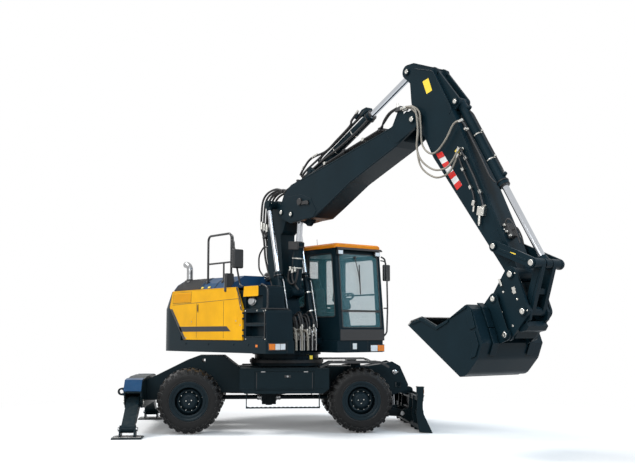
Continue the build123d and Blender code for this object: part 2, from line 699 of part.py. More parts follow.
def make_console():
    """Steering column with its wheel, and the side box with the armrest."""
    middle = (CAB_RIGHT + CAB_LEFT) / 2 + 28
    post = [(760, CAB_FLOOR), (860, CAB_FLOOR), (700, 2230), (640, 2230)]
    column = side_plate(post, middle - 40, middle + 40)
    tilt = Pos(665, middle, 2240) * Rot(0, -25, 0)
    wheel = tilt * revolve(Plane.XZ * Pos(180, 0) * RegularPolygon(17, 8), Axis.Z)
    hub = tilt * Cylinder(45, 40)
    spoke = tilt * Box(350, 20, 14) + tilt * Box(20, 350, 14)
    side_box = block(-100, 420, CAB_RIGHT + 102, CAB_RIGHT + 242, CAB_FLOOR, 2060)
    return column + wheel + hub + spoke + side_box


# ---------------------------------------------------------------- boom and arm
def make_base_boom():
    """Lower boom, curved, with the lift rods' cross pin and the adjusting lugs."""
    ends = (BOOM_FOOT, BOOM_JOINT)
    profile = beam_outline(*ends, [
        (0, -68, 79), (0, 310, 273, 200), (0, 858, 469, 200), (1, -313, 495, 300), (1, 89, 319, 30),
        (1, -68, 47), (1, -409, 94, 300), (0, 613, 6, 200), (0, 64, -109),
    ])
    body = side_plate(profile, -BASE_BOOM_HALF, BASE_BOOM_HALF)
    body += cross_bar(BOOM_FOOT, 110, -195 + SEAT, 195 - SEAT)
    heel = beside(*ends, 1, -259, 125)
    body += link_plate([(*BOOM_JOINT, 105), (*heel, 120)], -BASE_BOOM_HALF, BASE_BOOM_HALF)
    body += cross_bar(BOOM_JOINT, 105, -160 + SEAT, 160 - SEAT)
    crown = beside(*ends, 1, -111, 287)
    body += link_plate([(*LIFT_EYE, 80), (*crown, 160), (*BOOM_JOINT, 80)], -BASE_BOOM_HALF, BASE_BOOM_HALF)
    body += cross_bar(LIFT_EYE, 70, -240, 240)
    low, high = beside(*ends, 0, 373, 4), beside(*ends, 0, 672, 57)
    body += mirrored(link_plate([(*ADJUST_BASE, 75), (*low, 60), (*high, 60)], 91 + SEAT, 122))
    body += pin_heads(ADJUST_BASE, 38, 122)
    return body


def make_upper_boom():
    """Upper boom, forked round the lower boom's head and round the arm's root."""
    ends = (BOOM_JOINT, NOSE)
    outline = beam_outline(*ends, [
        (0, -90, 41, 60), (0, -18, 102), (0, 150, 267, 40), (0, 390, 347, 120), (0, 651, 321),
        (0, 1480, 241), (1, -467, 110), (1, -85, 185), (1, 156, 20), (1, 126, -107), (1, -132, -162),
        (1, -461, -224), (1, -1599, -286), (0, 1136, -403, 60), (0, 824, -446, 80), (0, 552, -367),
        (0, 186, -284, 30), (0, -47, -88, 60),
    ])
    body = side_plate(outline, -UPPER_BOOM_HALF, UPPER_BOOM_HALF)
    body += link_plate([(*NOSE, 145), (*beside(*ends, 1, -380, -83), 100)], -NOSE_FORK, NOSE_FORK)
    body += mirrored(cross_bar(BOOM_JOINT, 100, 160, UPPER_BOOM_HALF))
    root = [
        (0, -646, -223), (0, 374, -547), (0, 462, -302), (0, 505, -1), (0, 355, 152), (0, 309, 271),
        (0, 442, 690), (0, -282, 921),
    ]
    body -= side_plate(beam_outline(*ends, root), -160, 160)
    fork = [(1, -318, -214), (1, -139, 348), (1, 436, 172), (1, 239, -447), (1, -203, -314)]
    body -= side_plate(beam_outline(*ends, fork), -170, 170)
    body += mirrored(cross_bar(ADJUST_EYE, 70, 70, 165))
    body += pin_heads(BOOM_JOINT, 50, UPPER_BOOM_HALF) + pin_heads(ADJUST_EYE, 50, UPPER_BOOM_HALF)
    body += pin_heads(NOSE, 55, NOSE_FORK)
    back, front = beside(*ends, 0, 704, 292), beside(*ends, 0, 1008, 259)
    body += mirrored(link_plate([(*ARM_CYL_BASE, 70), (*back, 60), (*front, 60)], 86 + SEAT, 118))
    body += pin_heads(ARM_CYL_BASE, 40, 118)
    eye = [(0, 447, -382), (0, 348, -266), (0, 596, -345)]
    discs = [(*point, r) for point, r in zip(beam_outline(*ends, eye), (45, 30, 30))]
    return body + link_plate(discs, -35, 35)


def make_arm():
    """Dipper arm with the slot for its cylinder's eye and the bucket ram's lugs."""
    ends = (NOSE, ARM_END)
    outline = beam_outline(*ends, [
        (0, -574, 320, 120), (0, -209, 85, 400), (0, 713, -77, 400), (1, -322, -89), (1, 0, -93),
        (1, 6, 79), (1, -426, 179), (0, 714, 564), (0, -175, 694, 60), (0, -317, 716, 80),
        (0, -650, 477),
    ])
    body = side_plate(outline, -ARM_HALF, ARM_HALF)
    body += cross_bar(NOSE, 130, -170 + SEAT, 170 - SEAT)
    throat = [beside(*ends, 0, 38, 126), beside(*ends, 0, 362, 54)]
    body += link_plate([(*NOSE, 130)] + [(*point, 60) for point in throat], -ARM_HALF, ARM_HALF)
    crown = beam_outline(*ends, [(0, -676, 443), (0, -279, 697), (0, -431, 335)])
    discs = [(*ARM_CYL_EYE, 105)] + [(*point, r) for point, r in zip(crown, (70, 60, 60))]
    body += mirrored(link_plate(discs, 65 + SEAT, 125 + SEAT))
    slot = [(0, -620, -75), (0, -524, 280), (0, -877, 576), (0, -1096, 290)]
    body -= side_plate(beam_outline(*ends, slot), -65 - SEAT, 65 + SEAT)
    feet = beam_outline(*ends, [(0, -313, 686), (0, 401, 566)])
    body += mirrored(link_plate([(*BUCKET_CYL_BASE, 75)] + [(*point, 60) for point in feet], 78 + SEAT, 112))
    body += cross_bar(IDLER_PIN, 75, -IDLER_IN, IDLER_IN)
    body += cross_bar(ARM_END, 95, -200 + SEAT, 200 - SEAT)
    body += pin_heads(BUCKET_CYL_BASE, 42, 112)
    body += mirrored(cross_bar(ARM_CYL_EYE, 50, 125, 140))
    return body


def make_idlers():
    """The two side links that guide the bucket cylinder's rod end."""
    outside = IDLER_IN + 38
    link = link_plate([(*IDLER_PIN, 75), (*TIP_PIN, 70)], IDLER_IN + SEAT, outside)
    link += cross_bar(IDLER_PIN, 45, outside, outside + 14) + cross_bar(TIP_PIN, 45, outside, outside + 14)
    return mirrored(link)


def make_tipping_link():
    """H-shaped link from the rod end to the quick coupler."""
    arm = link_plate([(*TIP_PIN, 65), (*COUPLER_PIN, 65)], 75, 140)
    arm += cross_bar(TIP_PIN, 65, 75, IDLER_IN)
    link = mirrored(arm)
    link += cross_bar(COUPLER_PIN, 65, -200 + SEAT, 200 - SEAT)
    return link


def make_coupler():
    """Quick coupler that holds both bucket pins."""
    near, far = BUCKET_PINS
    plate = link_plate([(*ARM_END, 100), (*COUPLER_PIN, 90), (*far, 80), (*near, 80)], 200, COUPLER_OUT)
    for pin in (ARM_END, COUPLER_PIN):
        plate += cross_bar(pin, 55, COUPLER_OUT, COUPLER_OUT + 12)
    coupler = mirrored(plate)
    core = side_plate([(5160, 2100), (5300, 2120), (5560, 1700), (5480, 1560), (5360, 1560)], -200, 200)
    core -= cross_bar(COUPLER_PIN, 90, -200, 200) + cross_bar(ARM_END, 125, -200, 200)
    coupler += core
    coupler += cross_bar(near, 45, -258, 258) + cross_bar(far, 45, -258, 258)
    return coupler


def make_bucket():
    """Digging bucket held by its two pins, hollow, with its lip at the front."""
    outline = beam_outline(*BUCKET_PINS, [
        (0, -176, -1324), (0, -209, -1246), (0, -182, -1031), (0, 47, -811), (0, 47, -530),
        (0, -2, -198), (0, 87, -137), (0, 559, -144), (0, 714, -293, 150), (0, 877, -638, 160),
    ])
    outer = side_plate(outline, -BUCKET_HALF, BUCKET_HALF)
    hollow = beam_outline(*BUCKET_PINS, [
        (0, -282, -1346), (0, -187, -1266), (0, 842, -613, 130), (0, 683, -318, 120), (0, 539, -179),
        (0, 106, -171), (0, 19, -238), (0, -325, -197), (0, -699, -1124),
    ])
    bucket = outer - side_plate(hollow, BUCKET_WALL - BUCKET_HALF, BUCKET_HALF - BUCKET_WALL)
    feet = beam_outline(*BUCKET_PINS, [(0, 91, -235), (0, 510, -264)])
    for pin in BUCKET_PINS:
        discs = [(*pin, 75)] + [(*point, 60) for point in feet]
        bucket += mirrored(link_plate(discs, 258, 290))
        bucket += mirrored(cross_bar(pin, 45, 290, 304))
    return bucket


# ---------------------------------------------------------------- assembly
def build_undercarriage():
    undercarriage("chassis", make_chassis())
    undercarriage("side_boxes", mirrored(make_side_box()))
    undercarriage("rear_axle", make_rear_axle())
    undercarriage("front_axle", make_front_axle())
    undercarriage("driveline", make_driveline())
    undercarriage("outrigger_frame", make_outrigger_frame())
    sides = (("right", -1), ("left", 1))
    for side_name, side in sides:
        undercarriage("knuckle_" + side_name, make_knuckle(side))
        undercarriage("outrigger_leg_" + side_name, make_leg(side))
        undercarriage("outrigger_pad_" + side_name, make_pad(side))
        axles = (("front", FRONT_AXLE_X, 940 + SEAT), ("rear", REAR_AXLE_X, 900 + SEAT))
        for axle_name, x, hub_face in axles:
            tyre, rim = make_wheel(x, side, hub_face)
            undercarriage(f"tyre_{axle_name}_{side_name}", tyre)
            undercarriage(f"rim_{axle_name}_{side_name}", rim)
    undercarriage("blade", make_blade())
    undercarriage("blade_arms", make_blade_arms())
    undercarriage("blade_link", make_blade_link())
    barrels, rods = make_blade_rams()
    undercarriage("blade_cylinder_barrels", barrels)
    undercarriage("blade_cylinder_rods", rods)


def build_upper():
    upper("upper_frame", make_upper_frame())
    upper("boom_bracket", make_boom_bracket())
    upper("counterweight", make_counterweight())
    upper("hood", make_hood())
    upper("engine", make_engine())
    upper("right_body", make_right_body())
    upper("left_body", make_left_body())
    upper("side_door_right", make_side_door(-1))
    upper("side_door_left", make_side_door(1))
    upper("hand_rails", make_rails())
    upper("cab_frame", make_cab_frame())
    upper("cab_side_right", make_cab_side_right())
    upper("cab_side_left", make_cab_side_left())
    upper("cab_roof", make_cab_roof())
    upper("cab_door", make_cab_door())
    upper("cab_glass", make_cab_glass())
    upper("door_glass", make_door_glass())
    upper("seat", make_seat())
    upper("console", make_console())


def build_boom():
    boom("base_boom", make_base_boom())
    boom("upper_boom", make_upper_boom())
    boom("arm", make_arm())
    boom("idler_links", make_idlers())
    boom("tipping_link", make_tipping_link())
    boom("coupler", make_coupler())
    boom("bucket", make_bucket())
    lift = [ram(LIFT_BASE, LIFT_EYE, 62, 42, 1210, 640, side * LIFT_Y, 70, 50, 70 - SEAT) for side in BOTH]
    boom("lift_cylinder_barrels", lift[0][0] + lift[1][0])
    boom("lift_cylinder_rods", lift[0][1] + lift[1][1])
    singles = (
        ("adjust_cylinder", ADJUST_BASE, ADJUST_EYE, 85, 52, 850, 180, 72, 62, 91),
        ("arm_cylinder", ARM_CYL_BASE, ARM_CYL_EYE, 78, 50, 1620, 900, 68, 59, 86),
        ("bucket_cylinder", BUCKET_CYL_BASE, TIP_PIN, 70, 46, 1500, 1000, 65, 55, 78),
    )
    for name, base, eye, barrel_r, rod_r, length, retract, eye_r, eye_half, base_half in singles:
        barrel, rod = ram(base, eye, barrel_r, rod_r, length, retract, 0, eye_r, eye_half, base_half)
        boom(name + "_barrel", barrel)
        boom(name + "_rod", rod)


build_undercarriage()
build_upper()
build_boom()

for name, shape in parts.items():
    export_step(shape, f"parts/{name}.step")
print(len(parts), "nodes")
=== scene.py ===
"""Looks of the wheeled excavator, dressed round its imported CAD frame."""

from math import cos, pi, radians, sin, tau

import bmesh
import bpy
from mathutils import Matrix, Vector

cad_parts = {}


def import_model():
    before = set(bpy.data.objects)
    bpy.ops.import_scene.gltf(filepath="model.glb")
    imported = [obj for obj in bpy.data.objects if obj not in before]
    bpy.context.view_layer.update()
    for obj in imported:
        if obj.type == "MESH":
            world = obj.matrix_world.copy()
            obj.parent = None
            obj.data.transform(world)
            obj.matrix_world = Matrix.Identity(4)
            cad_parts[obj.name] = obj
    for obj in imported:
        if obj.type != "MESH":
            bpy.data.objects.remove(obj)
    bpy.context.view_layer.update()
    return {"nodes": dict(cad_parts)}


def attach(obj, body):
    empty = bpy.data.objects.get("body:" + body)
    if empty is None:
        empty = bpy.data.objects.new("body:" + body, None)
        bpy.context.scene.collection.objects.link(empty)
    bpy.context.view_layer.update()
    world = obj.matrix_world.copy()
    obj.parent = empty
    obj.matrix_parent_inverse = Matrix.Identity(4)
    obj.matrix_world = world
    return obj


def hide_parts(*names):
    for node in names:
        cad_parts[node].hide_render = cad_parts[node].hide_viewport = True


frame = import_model()
nodes = frame["nodes"]

# places and sizes of pieces are in millimetres, those of materials and lights in metres
MM = 0.001
TURN = Matrix.Rotation(radians(55.74), 4, "Z")   # the undercarriage stands turned
BOTH = (-1, 1)
SIDES = (("right", -1), ("left", 1))
ORIGIN, FORWARD, LEFT, UP, DOWN = (0, 0, 0), (1, 0, 0), (0, 1, 0), (0, 0, 1), (0, 0, -1)


# ---------------------------------------------------------------- node materials
def put(node, **values):
    """Sets a node's inputs by name."""
    for key, value in values.items():
        node.inputs[key.replace("_", " ")].default_value = value
    return node


class Nodes:
    """A material's node tree with short calls to add and link nodes."""

    def __init__(self, name):
        self.material = bpy.data.materials.new(name)
        self.material.use_nodes = True
        self.tree = self.material.node_tree
        self.tree.nodes.clear()
        self.out = self.add("OutputMaterial")
        self.shader = self.add("BsdfPrincipled")
        self.link(self.shader, "BSDF", self.out, "Surface")

    def add(self, kind, **values):
        node = self.tree.nodes.new("ShaderNode" + kind)
        for key, value in values.items():
            setattr(node, key, value)
        return node

    def link(self, source, output, target, socket):
        self.tree.links.new(source.outputs[output], target.inputs[socket])

    def place(self, **mapping):
        """Object coordinates as (node, output), turned or scaled where asked."""
        spot = self.add("TexCoord")
        if not mapping:
            return spot, "Object"
        moved = put(self.add("Mapping"), **mapping)
        self.link(spot, "Object", moved, "Vector")
        return moved, "Vector"

    def noise(self, scale, detail=3.0, rough=0.55, **mapping):
        texture = put(self.add("TexNoise"), Scale=scale, Detail=detail, Roughness=rough)
        self.link(*self.place(**mapping), texture, "Vector")
        return texture

    def waves(self, place, directions, **values):
        """Band textures, one for each direction, as (node, output) pairs."""
        pairs = []
        for direction in directions:
            wave = put(self.add("TexWave", wave_type="BANDS", bands_direction=direction), **values)
            self.link(*place, wave, "Vector")
            pairs.append((wave, "Fac"))
        return pairs

    def ramp(self, source, output, low, high):
        """Black to white between two values."""
        ramp = self.add("ValToRGB")
        for stop, position in zip(ramp.color_ramp.elements, (low, high)):
            stop.position = position
        self.link(source, output, ramp, "Fac")
        return ramp

    def mix(self, factor, output, *colours):
        """Colour between two others, each given as three numbers or as another mix."""
        mix = self.add("Mix", data_type="RGBA")
        self.link(factor, output, mix, "Factor")
        for socket, colour in zip(mix.inputs[6:8], colours):
            if isinstance(colour, tuple):
                socket.default_value = (*colour, 1.0)
            else:
                self.tree.links.new(colour.outputs[2], socket)
        return mix

    def math(self, operation, *values):
        """A Math node fed by numbers and (node, output) pairs."""
        node = self.add("Math", operation=operation)
        for index, value in enumerate(values):
            if isinstance(value, tuple):
                self.link(*value, node, index)
            else:
                node.inputs[index].default_value = value
        return node

    def spread(self, source, output, **ends):
        """A MapRange node between the given ends."""
        node = put(self.add("MapRange"), **ends)
        self.link(source, output, node, "Value")
        return node

    def roughness(self, source, output, low, high):
        self.link(self.spread(source, output, To_Min=low, To_Max=high), "Result", self.shader, "Roughness")

    def bump(self, source, output, strength, distance, normal=None):
        bump = put(self.add("Bump"), Strength=strength, Distance=distance)
        self.link(source, output, bump, "Height")
        if normal:
            self.link(normal, "Normal", bump, "Normal")
        return bump

    def soft_edges(self, radius):
        return put(self.add("Bevel", samples=4), Radius=radius)

    def edges(self, bevel, low, high):
        """Mask that is 1 on rounded corners, where the softened normal leaves the face."""
        match = self.add("VectorMath", operation="DOT_PRODUCT")
        self.link(bevel, "Normal", match, 0)
        self.link(self.add("NewGeometry"), "Normal", match, 1)
        return self.spread(match, "Value", From_Min=low, From_Max=high)

    def dress(self, colour, normal=None, **values):
        """Gives the shader its colour, normal and values, and returns the material."""
        self.tree.links.new(colour.outputs[2], self.shader.inputs["Base Color"])
        if normal:
            self.link(normal, "Normal", self.shader, "Normal")
        put(self.shader, **values)
        return self.material


def shade(colour, factor):
    return tuple(min(1.0, channel * factor) for channel in colour)


def paint(name, colour, rough=0.34, coat=0.12, wear=0.18, dust=0.10):
    """Machine paint: slight orange peel, faint dust on top and paler worn edges."""
    n = Nodes(name)
    broad = n.noise(2.3, 4.0)
    body = n.mix(n.ramp(broad, "Fac", 0.35, 0.72), "Color", shade(colour, 0.90), shade(colour, 1.10))
    corner = n.soft_edges(0.004)
    chips = n.ramp(n.noise(90.0, 5.0, 0.7), "Fac", 0.48, 0.66)
    chipped = n.math("MULTIPLY", (n.edges(corner, 0.99, 0.90), "Result"), (chips, "Color"))
    pale = tuple(0.35 + 0.5 * channel for channel in colour)
    worn = n.mix(n.math("MULTIPLY", (chipped, "Value"), wear), "Value", body, pale)
    split = n.add("SeparateXYZ")
    n.link(n.add("NewGeometry"), "Normal", split, "Vector")
    grains = n.ramp(n.noise(14.0, 6.0, 0.65), "Fac", 0.42, 0.75)
    dusty = n.math("MULTIPLY", (n.ramp(split, "Z", 0.55, 1.0), "Color"), (grains, "Color"))
    final = n.mix(n.math("MULTIPLY", (dusty, "Value"), dust), "Value", worn, (0.32, 0.29, 0.24))
    n.roughness(broad, "Fac", rough - 0.05, rough + 0.10)
    peel = n.bump(n.noise(260.0, 2.0), "Fac", 0.05, 0.0006, corner)
    return n.dress(final, peel, Coat_Weight=coat, Coat_Roughness=0.12, Specular_IOR_Level=0.08)


def plain(name, colour, rough=0.5, metallic=0.0, grain=400.0, strength=0.12, depth=0.0006, vary=0.12):
    """A surface with fine grain and a gentle change of tone."""
    n = Nodes(name)
    cloud = n.ramp(n.noise(6.0, 4.0), "Fac", 0.3, 0.75)
    tone = n.mix(cloud, "Color", shade(colour, 1 - vary), shade(colour, 1 + vary))
    n.roughness(n.noise(18.0, 4.0), "Fac", max(0.02, rough - 0.06), rough + 0.08)
    fine = n.bump(n.noise(grain, 3.0), "Fac", strength, depth, n.soft_edges(0.0015))
    return n.dress(tone, fine, Metallic=metallic)


def lens(name, colour, rough=0.15):
    """A moulded lamp glass."""
    return plain(name, colour, rough, grain=160.0, strength=0.4, depth=0.002)


def film(name, colour, rough=0.35, vary=0.04):
    """A stuck-on plastic film."""
    return plain(name, colour, rough, strength=0.04, vary=vary)


def hatched(name, colour, other, size):
    """Fine diagonal dot rows, as on a perforated or printed panel."""
    n = Nodes(name)
    place = n.place(Rotation=(0, radians(45), 0), Scale=(1 / size,) * 3)
    both = n.math("MULTIPLY", *n.waves(place, "XZ", Scale=1.0))
    tone = n.mix(n.ramp(both, "Value", 0.30, 0.42), "Color", colour, other)
    return n.dress(tone, n.bump(both, "Value", 0.5, 0.003, n.soft_edges(0.002)), Roughness=0.45)


def rubber(name, colour, rough):
    """Tyre rubber with grain, scuffed edges and a little road dust."""
    n = Nodes(name)
    cloud = n.ramp(n.noise(5.0, 6.0, 0.6), "Fac", 0.35, 0.75)
    base = n.mix(cloud, "Color", shade(colour, 0.8), shade(colour, 1.35))
    corner = n.soft_edges(0.006)
    faded = n.math("MULTIPLY", (n.edges(corner, 0.99, 0.85), "Result"), 0.7)
    final = n.mix(faded, "Value", base, (0.085, 0.082, 0.078))
    fine = n.bump(n.noise(650.0, 2.0), "Fac", 0.25, 0.0008, corner)
    coarse = n.bump(n.noise(40.0, 4.0), "Fac", 0.12, 0.002, fine)
    return n.dress(final, coarse, Roughness=rough, Specular_IOR_Level=0.2)


GLASS_ROUGH, GLASS_CLEAR = 0.03, 0.78


def glass(name, tint):
    """Tinted pane: part see-through, part gloss, with faint smears."""
    n = Nodes(name)
    smear = n.ramp(n.noise(3.0, 5.0, 0.6, Scale=(1, 1, 3)), "Fac", 0.4, 0.8)
    tone = n.mix(smear, "Color", tint, shade(tint, 1.12))
    n.roughness(smear, "Color", GLASS_ROUGH, GLASS_ROUGH + 0.05)
    return n.dress(tone, IOR=1.45, Alpha=1 - GLASS_CLEAR, Specular_IOR_Level=0.6)


def cloth(name, colour):
    """Woven upholstery with two crossing thread directions."""
    n = Nodes(name)
    both = n.math("MAXIMUM", *n.waves(n.place(), "XZ", Scale=150.0, Distortion=0.6))
    tone = n.mix(both, "Value", shade(colour, 0.6), shade(colour, 1.3))
    return n.dress(tone, n.bump(both, "Value", 0.5, 0.0008), Roughness=0.9, Sheen_Weight=0.25)


PANE_TINT = (0.10, 0.30, 0.34)
M = dict(
    slate=paint("slate_paint", (0.0046, 0.0150, 0.0215), coat=0.02),
    slate_low=paint("slate_undercarriage", (0.0062, 0.0150, 0.0195), rough=0.38, coat=0.02, dust=0.08),
    # hood paint: a dark paint tinted blue, the blue being a painted reflection of the sky on top surfaces
    hood=paint("hood_dark_with_painted_sky_blue", (0.010, 0.052, 0.125), rough=0.40),
    yellow=paint("golden_yellow", (0.95, 0.46, 0.006), rough=0.30, coat=0.06, dust=0.02, wear=0.05),
    orange=paint("roof_orange", (0.86, 0.26, 0.012), rough=0.30, dust=0.05, wear=0.05),
    rim=paint("rim_slate", (0.0080, 0.0165, 0.0215), rough=0.38, coat=0.05, dust=0.06),
    rubber=rubber("tyre_rubber", (0.0045, 0.0045, 0.0047), rough=0.46),
    black=plain("black_trim", (0.012, 0.012, 0.013), rough=0.48),
    gloss=plain("black_gloss", (0.010, 0.011, 0.013), rough=0.22, strength=0.03),
    hose=plain("hose_rubber", (0.014, 0.014, 0.015), rough=0.55, grain=900.0, strength=0.3),
    sleeve=plain("hose_sleeve", (0.27, 0.245, 0.205), rough=0.62, grain=700.0, strength=0.35),
    chrome=plain(
        "rod_chrome", (0.50, 0.52, 0.55), rough=0.10, metallic=1.0, grain=120.0, strength=0.02, vary=0.04,
    ),
    steel=plain("bare_steel", (0.36, 0.365, 0.37), rough=0.30, metallic=1.0, grain=300.0),
    zinc=plain("zinc_fittings", (0.58, 0.57, 0.53), rough=0.28, metallic=1.0, grain=500.0),
    worn=plain(
        "worn_cutting_steel", (0.36, 0.35, 0.34), rough=0.38, metallic=0.9,
        grain=60.0, strength=0.25, vary=0.3,
    ),
    grey=plain("grey_plastic", (0.20, 0.21, 0.22)),
    dark=plain("dark_plastic", (0.03, 0.031, 0.033), rough=0.6, grain=900.0, strength=0.3),
    white=film("white_film", (0.80, 0.80, 0.78), vary=0.03),
    red=film("red_film", (0.62, 0.02, 0.015), rough=0.32, vary=0.05),
    tag=film("yellow_film", (0.93, 0.66, 0.05)),
    lamp=lens("lamp_lens", (0.78, 0.80, 0.82), rough=0.12),
    amber=lens("amber_lens", (0.90, 0.22, 0.01)),
    redlens=lens("red_lens", (0.55, 0.01, 0.01)),
    mirror=plain("mirror_face", (0.80, 0.82, 0.84), rough=0.03, metallic=1.0, strength=0.0, vary=0.02),
    hatch=hatched("dotted_black", (0.010, 0.010, 0.011), (0.035, 0.036, 0.038), 0.022),
    mesh=hatched("vent_mesh", (0.008, 0.008, 0.009), (0.045, 0.047, 0.05), 0.014),
    glass=glass("window_glass", PANE_TINT),
    screen=glass("door_window_glass", PANE_TINT),
    seat=cloth("seat_cloth", (0.025, 0.026, 0.030)),
    engine=plain("engine_block", (0.10, 0.10, 0.10), rough=0.55, metallic=0.4),
)

NODE_LOOKS = {
    "slate_low": (
        "chassis side_boxes rear_axle front_axle driveline outrigger_frame knuckle_right knuckle_left "
        "outrigger_leg_right outrigger_leg_left outrigger_pad_right outrigger_pad_left blade blade_arms "
        "blade_link blade_cylinder_barrels"
    ),
    "slate": (
        "upper_frame counterweight right_body left_body base_boom upper_boom arm idler_links tipping_link "
        "coupler bucket lift_cylinder_barrels adjust_cylinder_barrel arm_cylinder_barrel "
        "bucket_cylinder_barrel boom_bracket cab_frame cab_side_right cab_side_left cab_door"
    ),
    "gloss": "hand_rails",
    # the hood takes the dark paint with the painted blue sky reflection
    "hood": "hood",
    "orange": "cab_roof",
    "yellow": "side_door_right side_door_left",
    "rim": "rim_front_right rim_front_left rim_rear_right rim_rear_left",
    "rubber": "tyre_front_right tyre_front_left tyre_rear_right tyre_rear_left",
    "chrome": (
        "blade_cylinder_rods lift_cylinder_rods adjust_cylinder_rod arm_cylinder_rod bucket_cylinder_rod"
    ),
    "glass": "cab_glass",
    "screen": "door_glass",
    "seat": "seat",
    "dark": "console",
    "engine": "engine",
}
for look, names in NODE_LOOKS.items():
    for name in names.split():
        for slot in nodes[name].material_slots:
            slot.material = M[look]
        if not nodes[name].material_slots:
            nodes[name].data.materials.append(M[look])


# ---------------------------------------------------------------- mesh builder
def across(side, near, far):
    """The two y places of a plate on one side, the lower one first."""
    return sorted((side * near, side * far))


def rect(x0, x1, z0, z1):
    return [(x0, z0), (x0, z1), (x1, z1), (x1, z0)]


def link_object(name, data):
    made = bpy.data.objects.new(name, data)
    bpy.context.scene.collection.objects.link(made)
    return made


class Piece:
    """Collects shapes given in millimetres into one object that rides on a body."""

    pending = []

    def __init__(self, name, look, body, slot="slate_paint", matrix=None, bevel=0.0, segments=2):
        self.name, self.look, self.body, self.slot = name, look, body, slot
        self.matrix = Matrix.Identity(4) if matrix is None else matrix
        self.bevel, self.segments = bevel, segments
        self.bm = bmesh.new()
        Piece.pending.append(self)

    def _faces(self, points, faces):
        verts = [self.bm.verts.new(point) for point in points]
        for face in faces:
            self.bm.faces.new([verts[index] for index in face])
        return self

    def _circle(self, centre, side, up, radius, sides):
        angles = [tau * k / sides for k in range(sides)]
        return [self.bm.verts.new(centre + (side * cos(a) + up * sin(a)) * radius) for a in angles]

    def _bridge(self, first, second):
        for k, (a, b) in enumerate(zip(first, second)):
            m = (k + 1) % len(first)
            self.bm.faces.new((a, first[m], second[m], b))

    def _close(self, rows):
        self.bm.faces.new(list(reversed(rows[0])))
        self.bm.faces.new(rows[-1])
        return self

    def box(self, x0, x1, y0, y1, z0, z1, turn=0.0):
        """An upright box, turned by degrees about its own y axis."""
        cx, cz = (x0 + x1) / 2, (z0 + z1) / 2
        c, s = cos(radians(turn)), sin(radians(turn))
        points = [
            (cx + (x - cx) * c - (z - cz) * s, y, cz + (x - cx) * s + (z - cz) * c)
            for x in (x0, x1) for y in (y0, y1) for z in (z0, z1)
        ]
        faces = [(0, 1, 3, 2), (4, 6, 7, 5), (0, 4, 5, 1), (2, 3, 7, 6), (0, 2, 6, 4), (1, 5, 7, 3)]
        return self._faces(points, faces)

    def prism(self, outline, low, high, axis="y"):
        """A plate: an outline of two coordinates swept between two places along x or y."""
        count = len(outline)
        points = [(t, a, b) if axis == "x" else (a, t, b) for t in (low, high) for a, b in outline]
        faces = [tuple(range(count)), tuple(range(2 * count - 1, count - 1, -1))]
        faces += [(i, (i + 1) % count, count + (i + 1) % count, count + i) for i in range(count)]
        return self._faces(points, faces)

    def blocks(self, *rows):
        for row in rows:
            self.box(*row)
        return self

    def boxes(self, x0, x1, near, far, z0, z1):
        """A box on both sides of the middle plane."""
        for side in BOTH:
            self.box(x0, x1, *across(side, near, far), z0, z1)
        return self

    def plates(self, outline, near, far):
        """A plate on both sides of the middle plane."""
        for side in BOTH:
            self.prism(outline, *across(side, near, far))
        return self

    def bands(self, outline, x0, x1):
        """A (y, z) outline on both sides, swept along x."""
        for side in BOTH:
            self.prism([(side * y, z) for y, z in outline], x0, x1, "x")
        return self

    def caps(self, profile, places, sides=32):
        """Turned shapes that point outwards on both sides."""
        for side in BOTH:
            for x, y, z in places:
                self.spin(profile, (x, side * y, z), (0, side, 0), sides)
        return self

    def studs(self, places, size):
        """Bolts that point outwards on both sides."""
        for side in BOTH:
            for x, y, z in places:
                self.bolt((x, side * y, z), (0, side, 0), size)
        return self

    def ring(self, path, radius, sides=10, closed=False):
        """A round tube along points, its cross-section carried on without twist."""
        path = [Vector(point) for point in path]
        count = len(path)
        side = None
        rows = []
        for i, point in enumerate(path):
            if closed:
                ahead, behind = path[(i + 1) % count], path[i - 1]
            else:
                ahead, behind = path[min(i + 1, count - 1)], path[max(i - 1, 0)]
            direction = (ahead - behind).normalized()
            side = direction.orthogonal() if side is None else side - direction * side.dot(direction)
            side.normalize()
            rows.append(self._circle(point, side, direction.cross(side), radius, sides))
        for first, second in zip(rows, rows[1:] + rows[:1] if closed else rows[1:]):
            self._bridge(first, second)
        return self if closed else self._close(rows)

    def rod(self, start, end, radius, sides=20):
        return self.ring([start, end], radius, sides)

    def hose(self, points, radius, sides=10, steps=8):
        return self.ring(curve_points(points, steps), radius, sides)

    def pipe(self, points, corner, radius, sides=12, steps=6):
        return self.ring(rounded(points, corner, steps), radius, sides)

    def spin(self, profile, origin, axis, sides=32, loop=False):
        """A turned shape through (distance along axis, radius) pairs; loop closes a ring's section."""
        origin, axis = Vector(origin), Vector(axis).normalized()
        side = axis.orthogonal().normalized()
        up = axis.cross(side)
        rows = []
        for along, radius in profile:
            centre = origin + axis * along
            tip = [] if radius else [self.bm.verts.new(centre)]
            rows.append(tip or self._circle(centre, side, up, radius, sides))
        for a, b in zip(rows, rows[1:] + rows[:1] if loop else rows[1:]):
            for k in range(sides):
                m = (k + 1) % sides
                corners = a[k % len(a)], a[m % len(a)], b[m % len(b)], b[k % len(b)]
                self.bm.faces.new(dict.fromkeys(corners))
        for row in (rows[0], rows[-1]):
            if len(row) > 1 and not loop:
                self.bm.faces.new(row)
        return self

    def bolt(self, place, axis, size, height=None):
        """A hexagon head on its washer."""
        height = height or size * 0.65
        self.spin([(0, size * 1.35), (size * 0.18, size * 1.35), (size * 0.2, size * 1.2)], place, axis, 18)
        base = Vector(place) + Vector(axis).normalized() * size * 0.18
        return self.spin([(0, size), (height * 0.85, size), (height, size * 0.86)], base, axis, 6)

